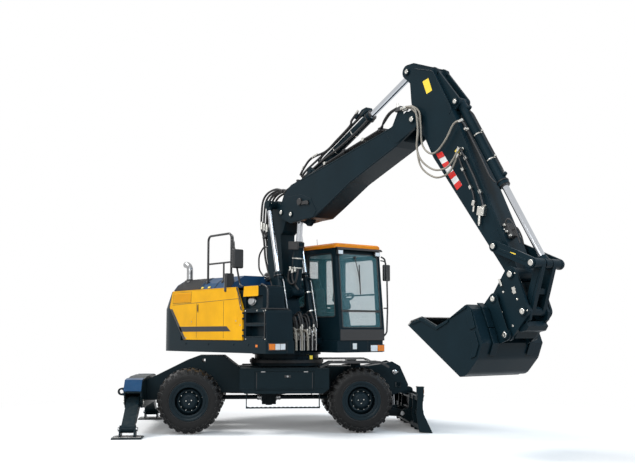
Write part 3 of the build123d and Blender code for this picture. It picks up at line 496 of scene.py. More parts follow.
    def bolts(self, centre, axis, pitch_r, count, size, height=None):
        """A circle of bolts."""
        axis = Vector(axis).normalized()
        side = axis.orthogonal().normalized()
        up = axis.cross(side)
        for k in range(count):
            angle = tau * k / count
            self.bolt(Vector(centre) + (side * cos(angle) + up * sin(angle)) * pitch_r, axis, size, height)
        return self

    def loft(self, sections):
        """Skin through equal-length rings of points, with both ends closed."""
        rows = [[self.bm.verts.new(point) for point in section] for section in sections]
        for first, second in zip(rows, rows[1:]):
            self._bridge(first, second)
        return self._close(rows)

    def sheet(self, rows, thick):
        """A curved plate of a given thickness through rows of points."""
        made = [[self.bm.verts.new(point) for point in row] for row in rows]
        faces = [
            self.bm.faces.new((a[k], a[k + 1], b[k + 1], b[k]))
            for a, b in zip(made, made[1:]) for k in range(len(a) - 1)
        ]
        self.bm.normal_update()
        bmesh.ops.solidify(self.bm, geom=faces, thickness=thick)
        return self

    def done(self, smooth=35):
        """Makes the object and gives it its look, bevel and body."""
        Piece.pending.remove(self)
        bmesh.ops.recalc_face_normals(self.bm, faces=self.bm.faces)
        self.bm.transform(Matrix.Scale(MM, 4))
        matrix = self.matrix.copy()
        matrix.translation *= MM
        self.bm.transform(matrix)
        data = bpy.data.meshes.new(self.name)
        self.bm.to_mesh(data)
        self.bm.free()
        piece = link_object(self.name, data)
        data.materials.append(M[self.look])
        data.polygons.foreach_set("use_smooth", [True] * len(data.polygons))
        data.set_sharp_from_angle(angle=radians(smooth))
        if self.bevel:
            bevel = piece.modifiers.new("edge", "BEVEL")
            bevel.width = self.bevel * MM
            bevel.segments = self.segments
            bevel.limit_method = "ANGLE"
            bevel.angle_limit = radians(30)
            bevel.harden_normals = True
        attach(piece, self.body)
        return piece


def finish_pieces():
    for piece in list(Piece.pending):
        piece.done()


def curve_points(points, steps=8):
    """A smooth path through points, as many short runs."""
    points = [Vector(point) for point in points]
    padded = [points[0], *points, points[-1]]
    result = []
    for p0, p1, p2, p3 in zip(padded, padded[1:], padded[2:], padded[3:]):
        for k in range(steps):
            t = k / steps
            result.append(0.5 * (
                2 * p1 + (p2 - p0) * t + (2 * p0 - 5 * p1 + 4 * p2 - p3) * t * t
                + (3 * p1 - p0 - 3 * p2 + p3) * t ** 3
            ))
    return result + [points[-1]]


def corner_arc(start, corner, end, steps):
    """Points of a curve from start to end that bends towards the corner."""
    places = [k / steps for k in range(steps + 1)]
    return [start * (1 - t) ** 2 + corner * 2 * t * (1 - t) + end * t * t for t in places]


def rounded(points, radius, steps):
    """A path of straight runs with round corners."""
    points = [Vector(point) for point in points]
    result = [points[0]]
    for before, corner, after in zip(points, points[1:], points[2:]):
        a, b = (before - corner), (after - corner)
        cut = min(radius, a.length * 0.48, b.length * 0.48)
        result += corner_arc(corner + a.normalized() * cut, corner, corner + b.normalized() * cut, steps)
    return result + [points[-1]]


# ---------------------------------------------------------------- wheels
FRONT_X, REAR_X, TRACK, TYRE_R = 1183.0, -1617.0, 970.0, 530.0
RIM_R = 255.0
LUG_PITCHES = 26
RIM_STUDS = 10


def wheel_piece(name, look, slot, axle, x, side_name, side, bevel=0.0):
    """A piece drawn round the wheel's own centre; the first coordinate points outwards."""
    place = Matrix.Translation((x, side * TRACK, TYRE_R)) @ Matrix.Rotation(side * pi / 2, 4, "Z")
    body = f"wheel_{axle}_{side_name}"
    return Piece(f"{name}_{axle}_{side_name}", look, body, slot, TURN @ place, bevel)


def around(a, r, angle):
    return a, r * cos(angle), r * sin(angle)


def hoop(piece, profile, sides=72):
    """A ring round the wheel's axle through (outward, radius) points."""
    return piece.spin(profile, ORIGIN, FORWARD, sides, loop=True)


def tyre_carcass(p):
    half = [
        (0, 508), (110, 505), (196, 499), (236, 486), (256, 468), (270, 440), (273, 436), (277, 412),
        (279, 380), (277, 350), (279, 346), (279, 338), (275, 333), (266, 300), (262, 288), (262, 280),
        (250, 274), (238, 262), (234, RIM_R + 1),
    ]
    hoop(p, [(-a, r) for a, r in reversed(half[1:])] + half, 104)


def lug(p, side, angle, pitch):
    """One tread bar: from the middle of the crown over the shoulder to the sidewall."""
    stations = [
        (4, 529.2, 0.18, 0.30), (70, 529.0, 0.10, 0.31), (140, 526.5, 0.0, 0.33), (196, 522.5, -0.03, 0.37),
        (232, 516.0, -0.04, 0.41), (255, 497.0, -0.04, 0.42), (268, 470.0, -0.04, 0.40),
        (275.5, 438.0, -0.04, 0.30),
    ]
    rings = []
    for a, r, skew, width in stations:
        on_crown = a < 240
        inner_a, inner_r = (a, r - 34.0) if on_crown else (a - 18, r - 14)
        mid, half = angle + skew * pitch, width * pitch / 2
        crest = r + (0.8 if a < 200 else 0)
        rings.append([
            around(side * inner_a, inner_r, mid - half * 1.12), around(side * a, r, mid - half),
            around(side * a, crest, mid), around(side * a, r, mid + half),
            around(side * inner_a, inner_r, mid + half * 1.12),
        ])
    p.loft(rings)


def make_tyre(axle, x, side_name, side):
    p = wheel_piece("tread", "rubber", "tyre_rubber", axle, x, side_name, side, bevel=2.5)
    p.segments = 1
    tyre_carcass(p)
    pitch = tau / LUG_PITCHES
    for k in range(LUG_PITCHES):
        lug(p, 1, k * pitch, pitch)
        lug(p, -1, (k + 0.5) * pitch, pitch)
    # fine raised lines on both sidewalls
    for r, a, width in ((318, 271.5, 2.2), (452, 264.5, 1.8)):
        for s in BOTH:
            crest = a + width
            line = [(a, r - 4), (crest + 2, r - 2), (crest + 1, r + 2), (a - 2, r + 4)]
            hoop(p, [(s * out, radius) for out, radius in line], 96)
    tyre = p.done(smooth=28)
    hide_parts(f"tyre_{axle}_{side_name}")


def make_rim(axle, x, side_name, side):
    p = wheel_piece("wheel_hardware", "rim", "rim_paint", axle, x, side_name, side, bevel=1.2)
    # lock ring, flange and bead on the outer side
    hoop(p, [(236, 226), (263, 226), (266, 232), (266, 262), (261, 270), (252, 270), (248, 262), (240, 252)])
    hoop(p, [(246, 262), (270, 270), (281, 296), (280, 314), (270, 321), (256, 314)])
    hoop(p, [(196, 234), (204, 224), (214, 224), (220, 234)])
    # dished disc, its stud circle and the hub cover
    hoop(p, [
        (96, 235), (112, 236), (150, 208), (176, 186), (180, 176), (172, 160), (150, 150), (112, 150),
        (92, 200),
    ], 64)
    p.spin([(196, 118), (206, 114), (214, 104), (218, 84), (219, 20), (219, 0)], ORIGIN, FORWARD, 40)
    p.spin([(216, 30), (226, 27), (228, 22), (228, 0)], ORIGIN, FORWARD, 24)
    q = wheel_piece("wheel_studs", "zinc", "rim_paint", axle, x, side_name, side)
    for k in range(RIM_STUDS):
        angle = tau * k / RIM_STUDS
        p.bolt(around(174, 152, angle), FORWARD, 13, 17)
        q.spin([(172, 7), (197, 7), (199, 5), (199, 0)], around(0, 152, angle), FORWARD, 12)
    for k in range(6):
        p.bolt(around(217, 70, tau * (k + 0.5) / 6), FORWARD, 7, 6)
    for k in (0, 3, 5):
        q.spin([(216, 9), (223, 8), (224, 0)], around(0, 46, tau * k / 7 + 0.3), FORWARD, 12)
    q.pipe([(150, 196, 60), (205, 212, 66), (235, 214, 66)], 20, 4, 8, steps=5)


for side_name, side in SIDES:
    for axle, x in (("front", FRONT_X), ("rear", REAR_X)):
        make_tyre(axle, x, side_name, side)
        make_rim(axle, x, side_name, side)


# ---------------------------------------------------------------- undercarriage
AXLES = ((FRONT_X, 140), (REAR_X, 150))     # place along x and half width of each axle housing
SHAFT_Z = 517
RING_TOP, RING_BASE = 1180, 1071
BOX_FACE = 1197
FENDER_TOP = 1166
NOSE_FACE = 365
REAR_FACE = -2668                           # the outrigger cross box, seen from behind
LEG_PIN_Y, LEG_PIN_Z = 1670, 140
LEG_PIN_CAP = [(0, 34), (24, 34), (30, 26)]


def low(name, look="slate_low", body="undercarriage", slot="slate_paint", **more):
    return Piece(name, look, body, slot, TURN, **more)


def turntable():
    low("slew_ring_bolts").bolts((0, 0, RING_TOP), UP, 606, 36, 13, height=18)
    ring = low("slew_ring_flange", "black", bevel=2)
    ring.spin([(1120, 636), (1120, 648), (1168, 648), (1168, 636)], ORIGIN, UP, 96, loop=True)
    low("lower_ring_bolts").bolts((0, 0, RING_BASE), DOWN, 590, 30, 12, height=14)


def side_box(side_name, side):
    """Door, latch, hinges and step tread of a tool box."""
    door = low("box_door_" + side_name, bevel=6, segments=3)
    door.prism(rect(-545, 405, 700, 1000), *across(side, BOX_FACE - 8, BOX_FACE))
    trim = low("box_trim_" + side_name, "black", bevel=1.5)
    for x in (-530, 380):
        trim.prism(rect(x, x + 10, 715, 985), *across(side, BOX_FACE, BOX_FACE + 3))
    trim.box(-70, 30, *across(side, BOX_FACE, BOX_FACE + 12), 905, 945)
    latch = low("box_latch_" + side_name, "steel", bevel=2)
    latch.spin([(0, 16), (6, 16), (9, 12)], (-20, side * (BOX_FACE + 12), 925), (0, side, 0), 24)
    for x in (-420, 280):
        latch.box(x - 35, x + 35, *across(side, BOX_FACE, BOX_FACE + 5), 992, 1006)
    step = low("step_tread_" + side_name, "black", bevel=1)
    for k in range(17):
        x = -680 + k * 71.5
        step.box(x, x + 42, *across(side, 1094, 1181), 424, 430)
    for x in (-690, 502):
        for z in (430, 760):
            step.bolt((x + 8, side * 1120, z), FORWARD, 10)
    lip = low("box_lip_" + side_name, bevel=3)
    for z in (1040, 722):
        lip.prism(rect(-790, 650, z, z + 12), *across(side, BOX_FACE + 3, BOX_FACE + 9))


def fenders():
    top = [(514, 1085), (686, 1165), (1500, 1165), (1650, 1085)]
    outline = [(x, z + 6) for x, z in top] + [(x, z - 34) for x, z in reversed(top)]
    low("fender_lips", "black", bevel=3).plates(outline, 1192, 1204)
    studs = low("fender_bolts", "zinc")
    for side in BOTH:
        for x in (740, 900, 1320, 1460):
            for y in (760, 1080):
                studs.bolt((x, side * y, FENDER_TOP), UP, 11)
    flaps = low("fender_flaps", "black", bevel=3)
    flaps.plates([(512, 1078), (500, 930), (508, 930), (520, 1078)], 700, 1180)


def axles():
    shell = low("axle_covers", bevel=4)
    studs = low("axle_bolts", "zinc")
    for x, half in AXLES:
        shell.caps([(0, 150), (14, 150), (30, 120), (30, 60), (44, 52)], [(x, half, TYRE_R)], 40)
        for end in BOTH:
            studs.bolts((x, end * (half + 4), TYRE_R), (0, end, 0), 162, 16, 9)
    for x in (FRONT_X - 250, REAR_X + 262):
        studs.bolts((x, 0, SHAFT_Z), (1 if x < 0 else -1, 0, 0), 70, 8, 8)
    joints = low("shaft_joints", "steel", bevel=2)
    for x, way in ((FRONT_X - 262, -1), (-184, 1), (REAR_X + 272, 1), (-434, -1)):
        joints.spin([(0, 66), (12, 66), (14, 50), (34, 50), (60, 40)], (x, 0, SHAFT_Z), (way, 0, 0), 32)
        cross = x + way * 62
        joints.rod((cross, -52, SHAFT_Z), (cross, 52, SHAFT_Z), 17)
        joints.rod((cross, 0, SHAFT_Z - 52), (cross, 0, SHAFT_Z + 52), 17)
    gearbox = low("gearbox_details", bevel=3)
    for x in (-400, -350, -300, -250):
        gearbox.box(x, x + 14, -162, 162, 410, 600)
    gearbox.spin([(0, 95), (30, 95), (40, 80), (120, 74), (130, 40)], (-309, 150, 520), LEFT, 36)
    gearbox.spin([(0, 60), (16, 60), (22, 44)], (-309, 0, 400), DOWN, 30)
    lines = low("axle_hoses", "hose")
    for y, z in ((60, 0), (90, 8), (120, -6), (-70, 4), (-100, -4)):
        lines.hose([
            (-430, y, 560 + z), (-640, y * 1.2, 600 + z), (-1000, y, 606 + z), (-1300, y * 1.1, 640 + z),
            (REAR_X + 60, y, 700 + z),
        ], 11)
        lines.hose([
            (-190, y, 560 + z), (120, y * 1.1, 604 + z), (560, y, 606 + z), (880, y, 650 + z),
            (FRONT_X - 60, y * 0.8, 705 + z),
        ], 11)


def nose():
    rims = low("nose_rims", bevel=2)
    outline, inner = rect(1862, 1968, 692, 798), rect(1872, 1958, 702, 788)
    for k in range(4):
        m = (k + 1) % 4
        rims.plates([outline[k], outline[m], inner[m], inner[k]], NOSE_FACE, NOSE_FACE + 7)
    caps = low("nose_pin_caps", "steel", bevel=2)
    for x, y, z, r in ((1500, NOSE_FACE + 14, 380, 30), (1860, NOSE_FACE, 960, 26)):
        caps.caps([(0, r + 14), (10, r + 14), (14, r), (20, r - 8)], [(x, y, z)])
        caps.studs([(x + r + 26, NOSE_FACE, z)], 9)
    lines = low("blade_hoses", "hose")
    for side in BOTH:
        for k in range(2):
            y = side * (157 + 34 * k)
            foot = (1480, side * (90 + 30 * k), 900)
            lines.hose([foot, (1600, y, 985), (1700, y, 985), (1752, y, 915), (1766, y, 830)], 12)


def outrigger_details():
    # outrigger covers in the hood paint, whose blue is a painted sky reflection on their tops
    cover = low("outrigger_covers", "hood", slot="hood_paint", bevel=6, segments=3)
    for side in BOTH:
        cover.sheet([
            [(-2672, side * y, z), (-2528, side * y, z + 2), (-2386, side * y, z)]
            for y, z in ((1178, 694), (1012, 868), (760, 886))
        ], 7)
    ends = low("outrigger_end_covers", "hood", slot="hood_paint", bevel=5, segments=3)
    ends.bands([(1150, 640), (1150, 672), (990, 838), (700, 866), (700, 640)], REAR_FACE, REAR_FACE + 8)
    studs = low("outrigger_bolts", "zinc")
    for side in BOTH:
        for y, z in ((1110, 668), (740, 668), (740, 840), (950, 826)):
            studs.bolt((REAR_FACE, side * y, z), (-1, 0, 0), 11)
        for x, way in ((-2674, -1), (-2366, 1)):
            studs.spin([(0, 40), (8, 40), (14, 30)], (x, side * 1000, 510), (way, 0, 0), 30)
    low("rear_lamps", "redlens", bevel=4).boxes(REAR_FACE - 4, REAR_FACE + 8, 420, 640, 690, 790)
    frames = low("rear_lamp_frames", "black", bevel=4).boxes(REAR_FACE, REAR_FACE + 8, 408, 652, 678, 802)
    frames.box(REAR_FACE + 2, REAR_FACE + 8, -260, 260, 560, 680)
    low("rear_blank_plate", "white", bevel=2).box(REAR_FACE - 1, REAR_FACE + 2, -250, 250, 568, 672)


def outrigger_leg(side_name, side):
    body = "outrigger_leg_" + side_name
    leg = low("leg_details_" + side_name, body=body, bevel=4)
    outline = [(side * y, z) for y, z in ((1060, 540), (1300, 405), (1260, 335), (1020, 470))]
    for x in (-2624, -2420):
        leg.prism(outline, x, x + 4, "x")
    pin = low("leg_pin_" + side_name, "steel", body, bevel=2)
    for x, way in ((-2646, -1), (-2394, 1)):
        pin.spin(LEG_PIN_CAP, (x, side * LEG_PIN_Y, LEG_PIN_Z), (way, 0, 0), 30)
    pad = low("pad_details_" + side_name, "worn", "outrigger_pad_" + side_name, bevel=3)
    for y in (1520, 1600, 1740, 1820):
        pad.box(-2740, -2300, *across(side, y - 5, y + 5), 24, 31)
    ram = low("outrigger_ram_" + side_name, bevel=3)
    ram.rod((-2520, side * 560, 740), (-2520, side * 900, 640), 62, 28)
    ram.spin([(0, 70), (40, 70)], (-2520, side * 870, 649), (0, side * 340, -100), 28)


def blade_details():
    edge = low("blade_cutting_edge", "worn", "blade", bevel=3)
    edge.prism([(2334, 4), (2272, 134), (2282, 140), (2344, 6)], -1235, 1235)
    studs = low("blade_bolts", "zinc", "blade")
    for k in range(14):
        studs.bolt((2319, -1160 + k * 178.5, 74), (0.9, 0, 0.44), 15, 8)
    posts = low("blade_post_caps", body="blade", bevel=4)
    posts.boxes(2100, 2222, 1112, 1240, 738, 752).boxes(2100, 2222, 1112, 1240, 600, 612)
    low("blade_top_rail", body="blade", bevel=5).rod((2200, -1110, 612), (2200, 1110, 612), 13, 16)
    low("blade_reflectors", "amber", "blade", bevel=2).boxes(2216, 2221, 1150, 1215, 640, 705)
    caps = low("blade_arm_caps", "steel", "blade_arms", bevel=2)
    caps.caps([(0, 40), (10, 40), (16, 30)], [(1990, 362, 250)], 30)


turntable()
fenders()
axles()
nose()
outrigger_details()
blade_details()
for side_name, side in SIDES:
    side_box(side_name, side)
    outrigger_leg(side_name, side)
finish_pieces()


# ---------------------------------------------------------------- side doors of the engine bay
DOOR_FACE = 1240


def side_door(side_name, side):
    """Seams, vent, stripes, handles and locks of the right or left door."""
    right = side < 0
    front = 460 if right else -560

    def part(name, look, **more):
        return Piece(f"{name}_{side_name}", look, "side_door_" + side_name, "yellow_paint", **more)

    def panel(piece, outline, depth, lift=0):
        """A film or panel on the door's outer face."""
        return piece.prism(outline, *across(side, DOOR_FACE + lift, DOOR_FACE + lift + depth))

    def beads(piece, points, radius, lift):
        """Straight round beads from point to point."""
        for ends in zip(points, points[1:]):
            piece.ring([(x, side * (DOOR_FACE + lift), z) for x, z in ends], radius, 8)

    seams = part("door_seams", "black")
    beads(seams, [(-1010, 1545), (-1010, 2155)], 3.2, 0.4)
    beads(seams, [(-1870, 2140), (front - 60, 2140 + (front + 1870) * 0.026)], 3.2, 0.4)
    if right:
        beads(seams, [(-120, 1545), (-120, 2170)], 3.2, 0.4)
    top = 2388
    corner_x = front - (206 if right else 46)
    border = [(-1975, 2104), (-1866, top), (corner_x, top), (front - 8, 2018)]
    beads(part("door_edges", "yellow", bevel=3), border, 6, -1)
    vent = part("door_vent", "yellow", bevel=2)
    for k in range(9):
        z, lean = 2180 + k * 19, k * 19 * 0.12
        end = lean * 0.6 - 1215
        panel(vent, [(lean - 1850, z), (lean - 1846, z + 11), (end, z + 11), (end, z)], 7)
    corners = [(-1866, 2168), (-1836, 2358), (-1190, 2362), (-1208, 2170)]
    beads(part("door_vent_frame", "black"), corners + corners[:1], 2.6, 0.3)
    end = 107 if right else -700
    stripe = [(-1640, 1743), (end - 127, 1743), (end, 1657), (-1565, 1652)]
    panel(part("door_stripe", "black", bevel=1), stripe, 2)
    dark_corner = [(-1962, 2067), (-1880, 2070), (-1378, 1515), (-1468, 1512)]
    panel(part("door_dark_corner", "hatch", bevel=1), dark_corner, 2)
    if right:
        tip = [(262, 2388), (318, 2388), (456, 2030), (456, 1990), (400, 2016)]
        panel(part("door_dark_nose", "black", bevel=1), tip, 2)
    panel(part("door_handles", "black", bevel=3), rect(-972, -950, 1992, 2140), 4)
    panel(part("door_pulls", "dark", bevel=3), rect(-968, -956, 2010, 2120), 12, 3)
    dots = part("door_markers", "steel")
    for x, z in ((-1375, 1545), (-1180, 1830), (front - 190, 1830), (front - 60, 1760), (front - 60, 2080)):
        dots.spin([(0, 13), (4, 13), (6, 8)], (x, side * DOOR_FACE, z), (0, side, 0), 20)
    # shallow pressed panels round the locks
    lock = part("door_lock", "yellow", bevel=3)
    for x in (-1250, front - 250):
        panel(lock, rect(x, x + 100, 1790, 1890), 4)


for side_name, side in SIDES:
    side_door(side_name, side)
finish_pieces()


# ---------------------------------------------------------------- hood, rails and deck
def high(name, look, slot="slate_paint", **more):
    return Piece(name, look, "upper_structure", slot, **more)


def grille():
    ribs = high("hood_grille", "black", "hood_paint", bevel=2)
    for k in range(22):
        x = -1946 + k * 41
        ribs.bands([
            (1158, 2404), (1078, 2501), (900, 2610), (896, 2618), (1086, 2508), (1168, 2408),
        ], x, x + 20)
    back = high("hood_grille_panel", "mesh", "hood_paint", bevel=1)
    back.bands([(1156, 2402), (1076, 2500), (1078, 2503), (1159, 2403)], -1950, -1050)
    back.bands([(1076, 2500), (940, 2583), (942, 2587), (1078, 2503)], -1950, -1050)
    # grille frame in the hood paint, whose blue is a painted sky reflection
    rim = high("hood_grille_frame", "hood", "hood_paint", bevel=3)
    for x in (-1958, -1044):
        rim.bands([
            (1157, 2404), (1077, 2502), (897, 2612), (894, 2622), (1088, 2511), (1171, 2410),
        ], x, x + 20)


def hood_details():
    flank, spine = [(1160, 2402), (1080, 2504), (902, 2612)], (-482, 2611)
    seams = high("hood_seams", "black", "hood_paint")
    for x in (-1560, -1020, -560):
        seams.ring([(x, -y, z) for y, z in flank] + [(x, *spine)], 4, 8)
        if x < -560:
            seams.ring([(x, *spine)] + [(x, y, z) for y, z in reversed(flank)], 4, 8)
    latches = high("hood_latches", "tag", "yellow_paint", bevel=3)
    for side, x in ((-1, -1010), (-1, -780), (1, -1180), (1, -930)):
        hook = [(side * y, z) for y, z in ((1150, 2410), (1128, 2438), (1140, 2446), (1163, 2414))]
        latches.prism(hook, x, x + 66, "x")
    tread = high("hood_walkway", "hatch", "hood_paint", bevel=1)
    tread.blocks((-1900, -1080, -860, -520, 2610, 2614), (-960, -180, -860, -500, 2610, 2614))
    high("tail_vent", "mesh", "hood_paint", bevel=2).box(-1966, -1960, -700, 700, 2420, 2560)
    band = high("shelf_yellow_band", "yellow", "yellow_paint", bevel=5)
    band.prism([(476, 2224), (500, 2394), (905, 2394), (918, 2374), (918, 2242), (900, 2224)], -1240, -1234)


def air_intake():
    cap = high("air_intake_cap", "black", "hood_paint", bevel=3)
    x, y = -1250, 560
    cap.spin([(0, 120), (60, 120), (70, 150), (140, 150), (170, 120), (178, 0)], (x, y, 2608), UP, 40)
    for k in range(20):
        bar_x, bar_y = x + 128 * cos(tau * k / 20), y + 128 * sin(tau * k / 20)
        cap.box(bar_x - 5, bar_x + 5, bar_y - 5, bar_y + 5, 2616, 2682)


def exhaust():
    x, y = -1794, -930
    path = curve_points([
        (x, y, 2560), (x, y, 2700), (x, y, 2800), (x - 24, y, 2858), (x - 90, y, 2896), (x - 150, y, 2902),
    ])
    high("exhaust_pipe", "steel", "hood_paint").ring(path, 58, 32)
    mouth = high("exhaust_mouth", "black", "hood_paint")
    mouth.rod(path[-1] + Vector((-2, 0, 0)), path[-1] + Vector((1, 0, 0)), 50, 32)
    mouth.spin([(0, 92), (14, 90), (22, 64), (40, 60), (40, 57)], (x, y, 2584), UP, 40)


def rails_and_mirrors():
    feet = high("rail_feet", "gloss", "cab_plastic", bevel=2)
    upright = (0, -0.5, 0.86)
    for x in (-950, -430, -190):
        feet.spin([(0, 44), (10, 44), (14, 26), (30, 24)], (x, -1048, 2516), upright, 28)
        feet.bolts((x, -1053, 2525), upright, 34, 4, 6)
    rail = high("walkway_rail", "gloss", "cab_plastic")
    rail.pipe([
        (-190, -1050, 3320), (-130, -1060, 3290), (-70, -1090, 3100), (250, -1150, 2420), (385, -1180, 2394),
    ], 90, 16, 14)
    for path in (
        [(-190, -1050, 3240), (-60, -1080, 3200), (-10, -1110, 3080), (60, -1112, 3010)],
        [(-190, -1050, 2760), (-60, -1070, 2770), (60, -1110, 2800)],
    ):
        rail.pipe(path, 50, 13)
    rail.pipe([(-190, -1050, 2600), (-110, -1100, 2590), (-80, -1160, 2560)], 40, 13)
    shells = high("mirror_shells", "black", "cab_plastic", bevel=26, segments=4)
    shells.blocks((66, 146, -1212, -1010, 2722, 3046), (-104, -30, -1256, -1084, 2320, 2642))
    faces = high("mirror_faces", "mirror", "cab_plastic", bevel=3)
    faces.blocks((61, 66, -1198, -1024, 2746, 3022), (-109, -104, -1244, -1096, 2342, 2620))


def tank_cap():
    cap = high("tank_cap", "steel", bevel=3)
    centre, axis = Vector((640, -1150, 2150)), Vector((0.25, -0.95, 0.2))
    cap.spin([(0, 74), (16, 74), (20, 66), (46, 64), (52, 54), (54, 0)], centre, axis, 44)
    side, up = Vector((0.97, 0.25, 0)).normalized(), Vector((0, 0.2, 0.98))
    for k in range(18):
        a = tau * k / 18
        spot = centre + axis.normalized() * 34 + (side * cos(a) + up * sin(a)) * 65
        cap.spin([(0, 6), (14, 6)], spot, axis, 8)


def step_box():
    tread = high("step_treads", "hatch", bevel=1)
    tread.blocks((565, 1085, -1232, -1110, 1570, 1575), (565, 1085, -1232, -1110, 1790, 1795))
    tread.box(520, 890, -1232, -1150, 2016, 2020)
    noses = high("step_noses", "slate", bevel=2)
    noses.blocks((560, 1090, -1240, -1232, 1562, 1574), (560, 1090, -1240, -1232, 1782, 1794))
    noses.box(500, 905, -1240, -1232, 2006, 2018)
    grab = high("step_grab_rails", "gloss", "cab_plastic")
    grab.pipe([
        (1100, -1200, 1990), (1150, -1215, 2060), (1150, -1215, 2360), (960, -1200, 2420), (930, -1190, 2394),
    ], 70, 15, 14, steps=7)
    grab.pipe([(1060, -1236, 1540), (1110, -1240, 1560), (1110, -1240, 1960), (1060, -1236, 1985)], 30, 12)
    seams = high("tank_seams", "black")
    for ends in (
        [(510, -1236.5, 2000), (510, -1236.5, 1510)], [(530, -1236.5, 1776), (1150, -1236.5, 1776)],
        [(1140, -1180, 1510), (1140, -800, 1510)], [(500, -1192, 2328), (-118, -1192, 2328)],
    ):
        seams.ring(ends, 3, 8)
    studs = high("tank_bolts", "zinc")
    for x, z in ((540, 1990), (880, 1990), (1120, 1990), (560, 1530), (1110, 1530), (1110, 1760)):
        studs.bolt((x, -1235, z), (0, -1, 0), 9)
    covers = high("tank_top_cover", "black", bevel=8, segments=3)
    covers.blocks((930, 1110, -1200, -760, 2010, 2030), (540, 890, -1150, -760, 2394, 2406))
    high("deck_markers", "amber", bevel=2).boxes(850, 910, 1239, 1244, 1400, 1440)
    high("deck_side_bolts", "slate").studs([(x, 1240, 1440) for x in (-1375, -600, 200, 640)], 13)


def deck_front():
    pods = high("front_lamp_pods", "black", "cab_plastic", bevel=8, segments=3)
    pods.blocks((1188, 1204, -1232, -890, 1346, 1470), (1188, 1204, 902, 1234, 1306, 1432))
    lamps = high("front_lamps", "lamp", "window_glass", bevel=9, segments=4)
    lamps.blocks((1202, 1213, -1101, -1006, 1362, 1456), (1202, 1213, -1000, -905, 1362, 1456))
    lamps.box(1202, 1213, 914, 1065, 1316, 1420)
    flashers = high("front_indicators", "amber", "window_glass", bevel=9, segments=4)
    flashers.blocks((1202, 1213, -1221, -1108, 1362, 1456), (1202, 1213, 1072, 1223, 1316, 1420))
    high("front_blank_plate", "white", "cab_plastic", bevel=2).box(1190, 1194, 522, 611, 1354, 1455)
    tags = high("blank_yellow_tags", "tag", "yellow_paint", bevel=1)
    tags.blocks((545, 610, -30, 30, 1266, 1268), (1100, 1102, -330, -270, 1200, 1260))
    cut = high("deck_front_seams", "black")
    for y in (470, 860, -860):
        cut.ring([(1191, y, 1310), (1191, y, 1495)], 3, 8)


def manifold():
    block = high("swivel_manifold", "dark", "cast_block", bevel=6, segments=3)
    block.blocks((560, 700, -640, -560, 1520, 1700), (600, 760, -130, 60, 1506, 1640))
    block.box(-330, -150, -330, 60, 1500, 1700)
    ports = high("hydraulic_collars", "zinc", "cast_block")
    hoses = high("deck_hoses", "hose", "tyre_rubber")
    for k, y in enumerate((-450, -400, -342, -253, -190, -130)):
        x = 710 + 30 * (k % 2)
        rise = 1850 - 45 * (k % 3)
        union = [(0, 26), (18, 26), (18, 20), (44, 20), (44, 27), (74, 27), (76, 19), (150, 17)]
        ports.spin(union, (x, y * 0.8, 1506), UP, 20)
        hoses.hose([
            (x, y * 0.8, 1640), (x + 10, y * 0.8, rise - 60), (x - 60, y * 0.76, rise + 30),
            (x - 180, y * 0.7, rise - 40), (x - 260, y * 0.6, rise - 200),
        ], 17, 12)
    sleeves = high("deck_sleeves", "sleeve", "tyre_rubber")
    for k, y in enumerate((-620, -500, -380)):
        sleeves.hose([
            (1120, y, 1345), (1118, y - 8, 1600), (1060, y, 1700 - 20 * k), (960, y + 20, 1660),
            (900, y + 30, 1540),
        ], 19, 12, steps=7)
    ends = high("foot_hose_ends", "zinc", "cast_block")
    whips = high("foot_hoses", "hose", "tyre_rubber")
    for k, y in enumerate((-374, -318, -262, -171, -105, -38, 22)):
        x = 800 + 26 * (k % 2)
        rise = 40 * (k % 3)
        union = [(0, 24), (14, 24), (16, 19), (92, 19), (94, 25), (112, 25), (114, 18), (136, 17)]
        ends.spin(union, (x, y, 1560 + rise), UP, 20)
        ends.spin([(0, 21), (26, 21), (30, 16)], (x, y, 1506 + rise), UP, 6)
        whips.hose([
            (x, y, 1480 + rise), (x, y, 1700 + rise), (x - 14, y, 1800 + rise),
            (x - 110, y * 0.9, 1900 + rise),
            (x - 260, y * 0.7 - 50, 1840 + rise),
        ], 16, 12)
        whips.rod((x, y, 1340), (x, y, 1510 + rise), 16, 12)
    pipes = high("deck_pipes", "steel", "cast_block")
    for k in range(5):
        x, y = 880 + 18 * k, -360 + 70 * k
        bend = [(x, y, 1340), (x, y, 1580 + 34 * k), (640, y + 20, 1640 + 20 * k), (640, y + 20, 1506)]
        pipes.pipe(bend, 50, 11)


grille()
hood_details()
air_intake()
exhaust()
rails_and_mirrors()
tank_cap()
step_box()
deck_front()
manifold()
finish_pieces()


# ---------------------------------------------------------------- cab
CAB_RIGHT, CAB_LEFT = 228.0, 1235.0
RIGHT_WINDOWS = (
    [(-400, 2080), (-430, 2990), (230, 2990), (230, 2080)],
    [(310, 1900), (310, 2990), (985, 2990), (1080, 1900)],
)
REAR_SIDE = [(-420, 2080), (-440, 2990), (-50, 2990), (-50, 2080)]
DOOR_WINDOW = [(130, 1750), (130, 2930), (955, 2930), (1040, 1750)]
WINDOW_CORNER = 60
SEAT_Y = 759.5


def cab(name, look, slot="cab_plastic", **more):
    return high(name, look, slot, **more)


def shrink(outline, amount):
    """The outline with every corner moved inwards."""
    cx = sum(x for x, _ in outline) / len(outline)
    cz = sum(z for _, z in outline) / len(outline)
    return [(x - amount if x > cx else x + amount, z - amount if z > cz else z + amount) for x, z in outline]


def gasket(piece, outline, y, radius):
    """A closed bead round a window with rounded corners."""
    points = [Vector((x, y, z)) for x, z in outline]
    path = []
    for before, here, after in zip(points[-1:] + points, points, points[1:] + points[:1]):
        a, b = (before - here).normalized(), (after - here).normalized()
        path += corner_arc(here + a * WINDOW_CORNER, here, here + b * WINDOW_CORNER, 5)
    piece.ring(path, radius, 8, closed=True)


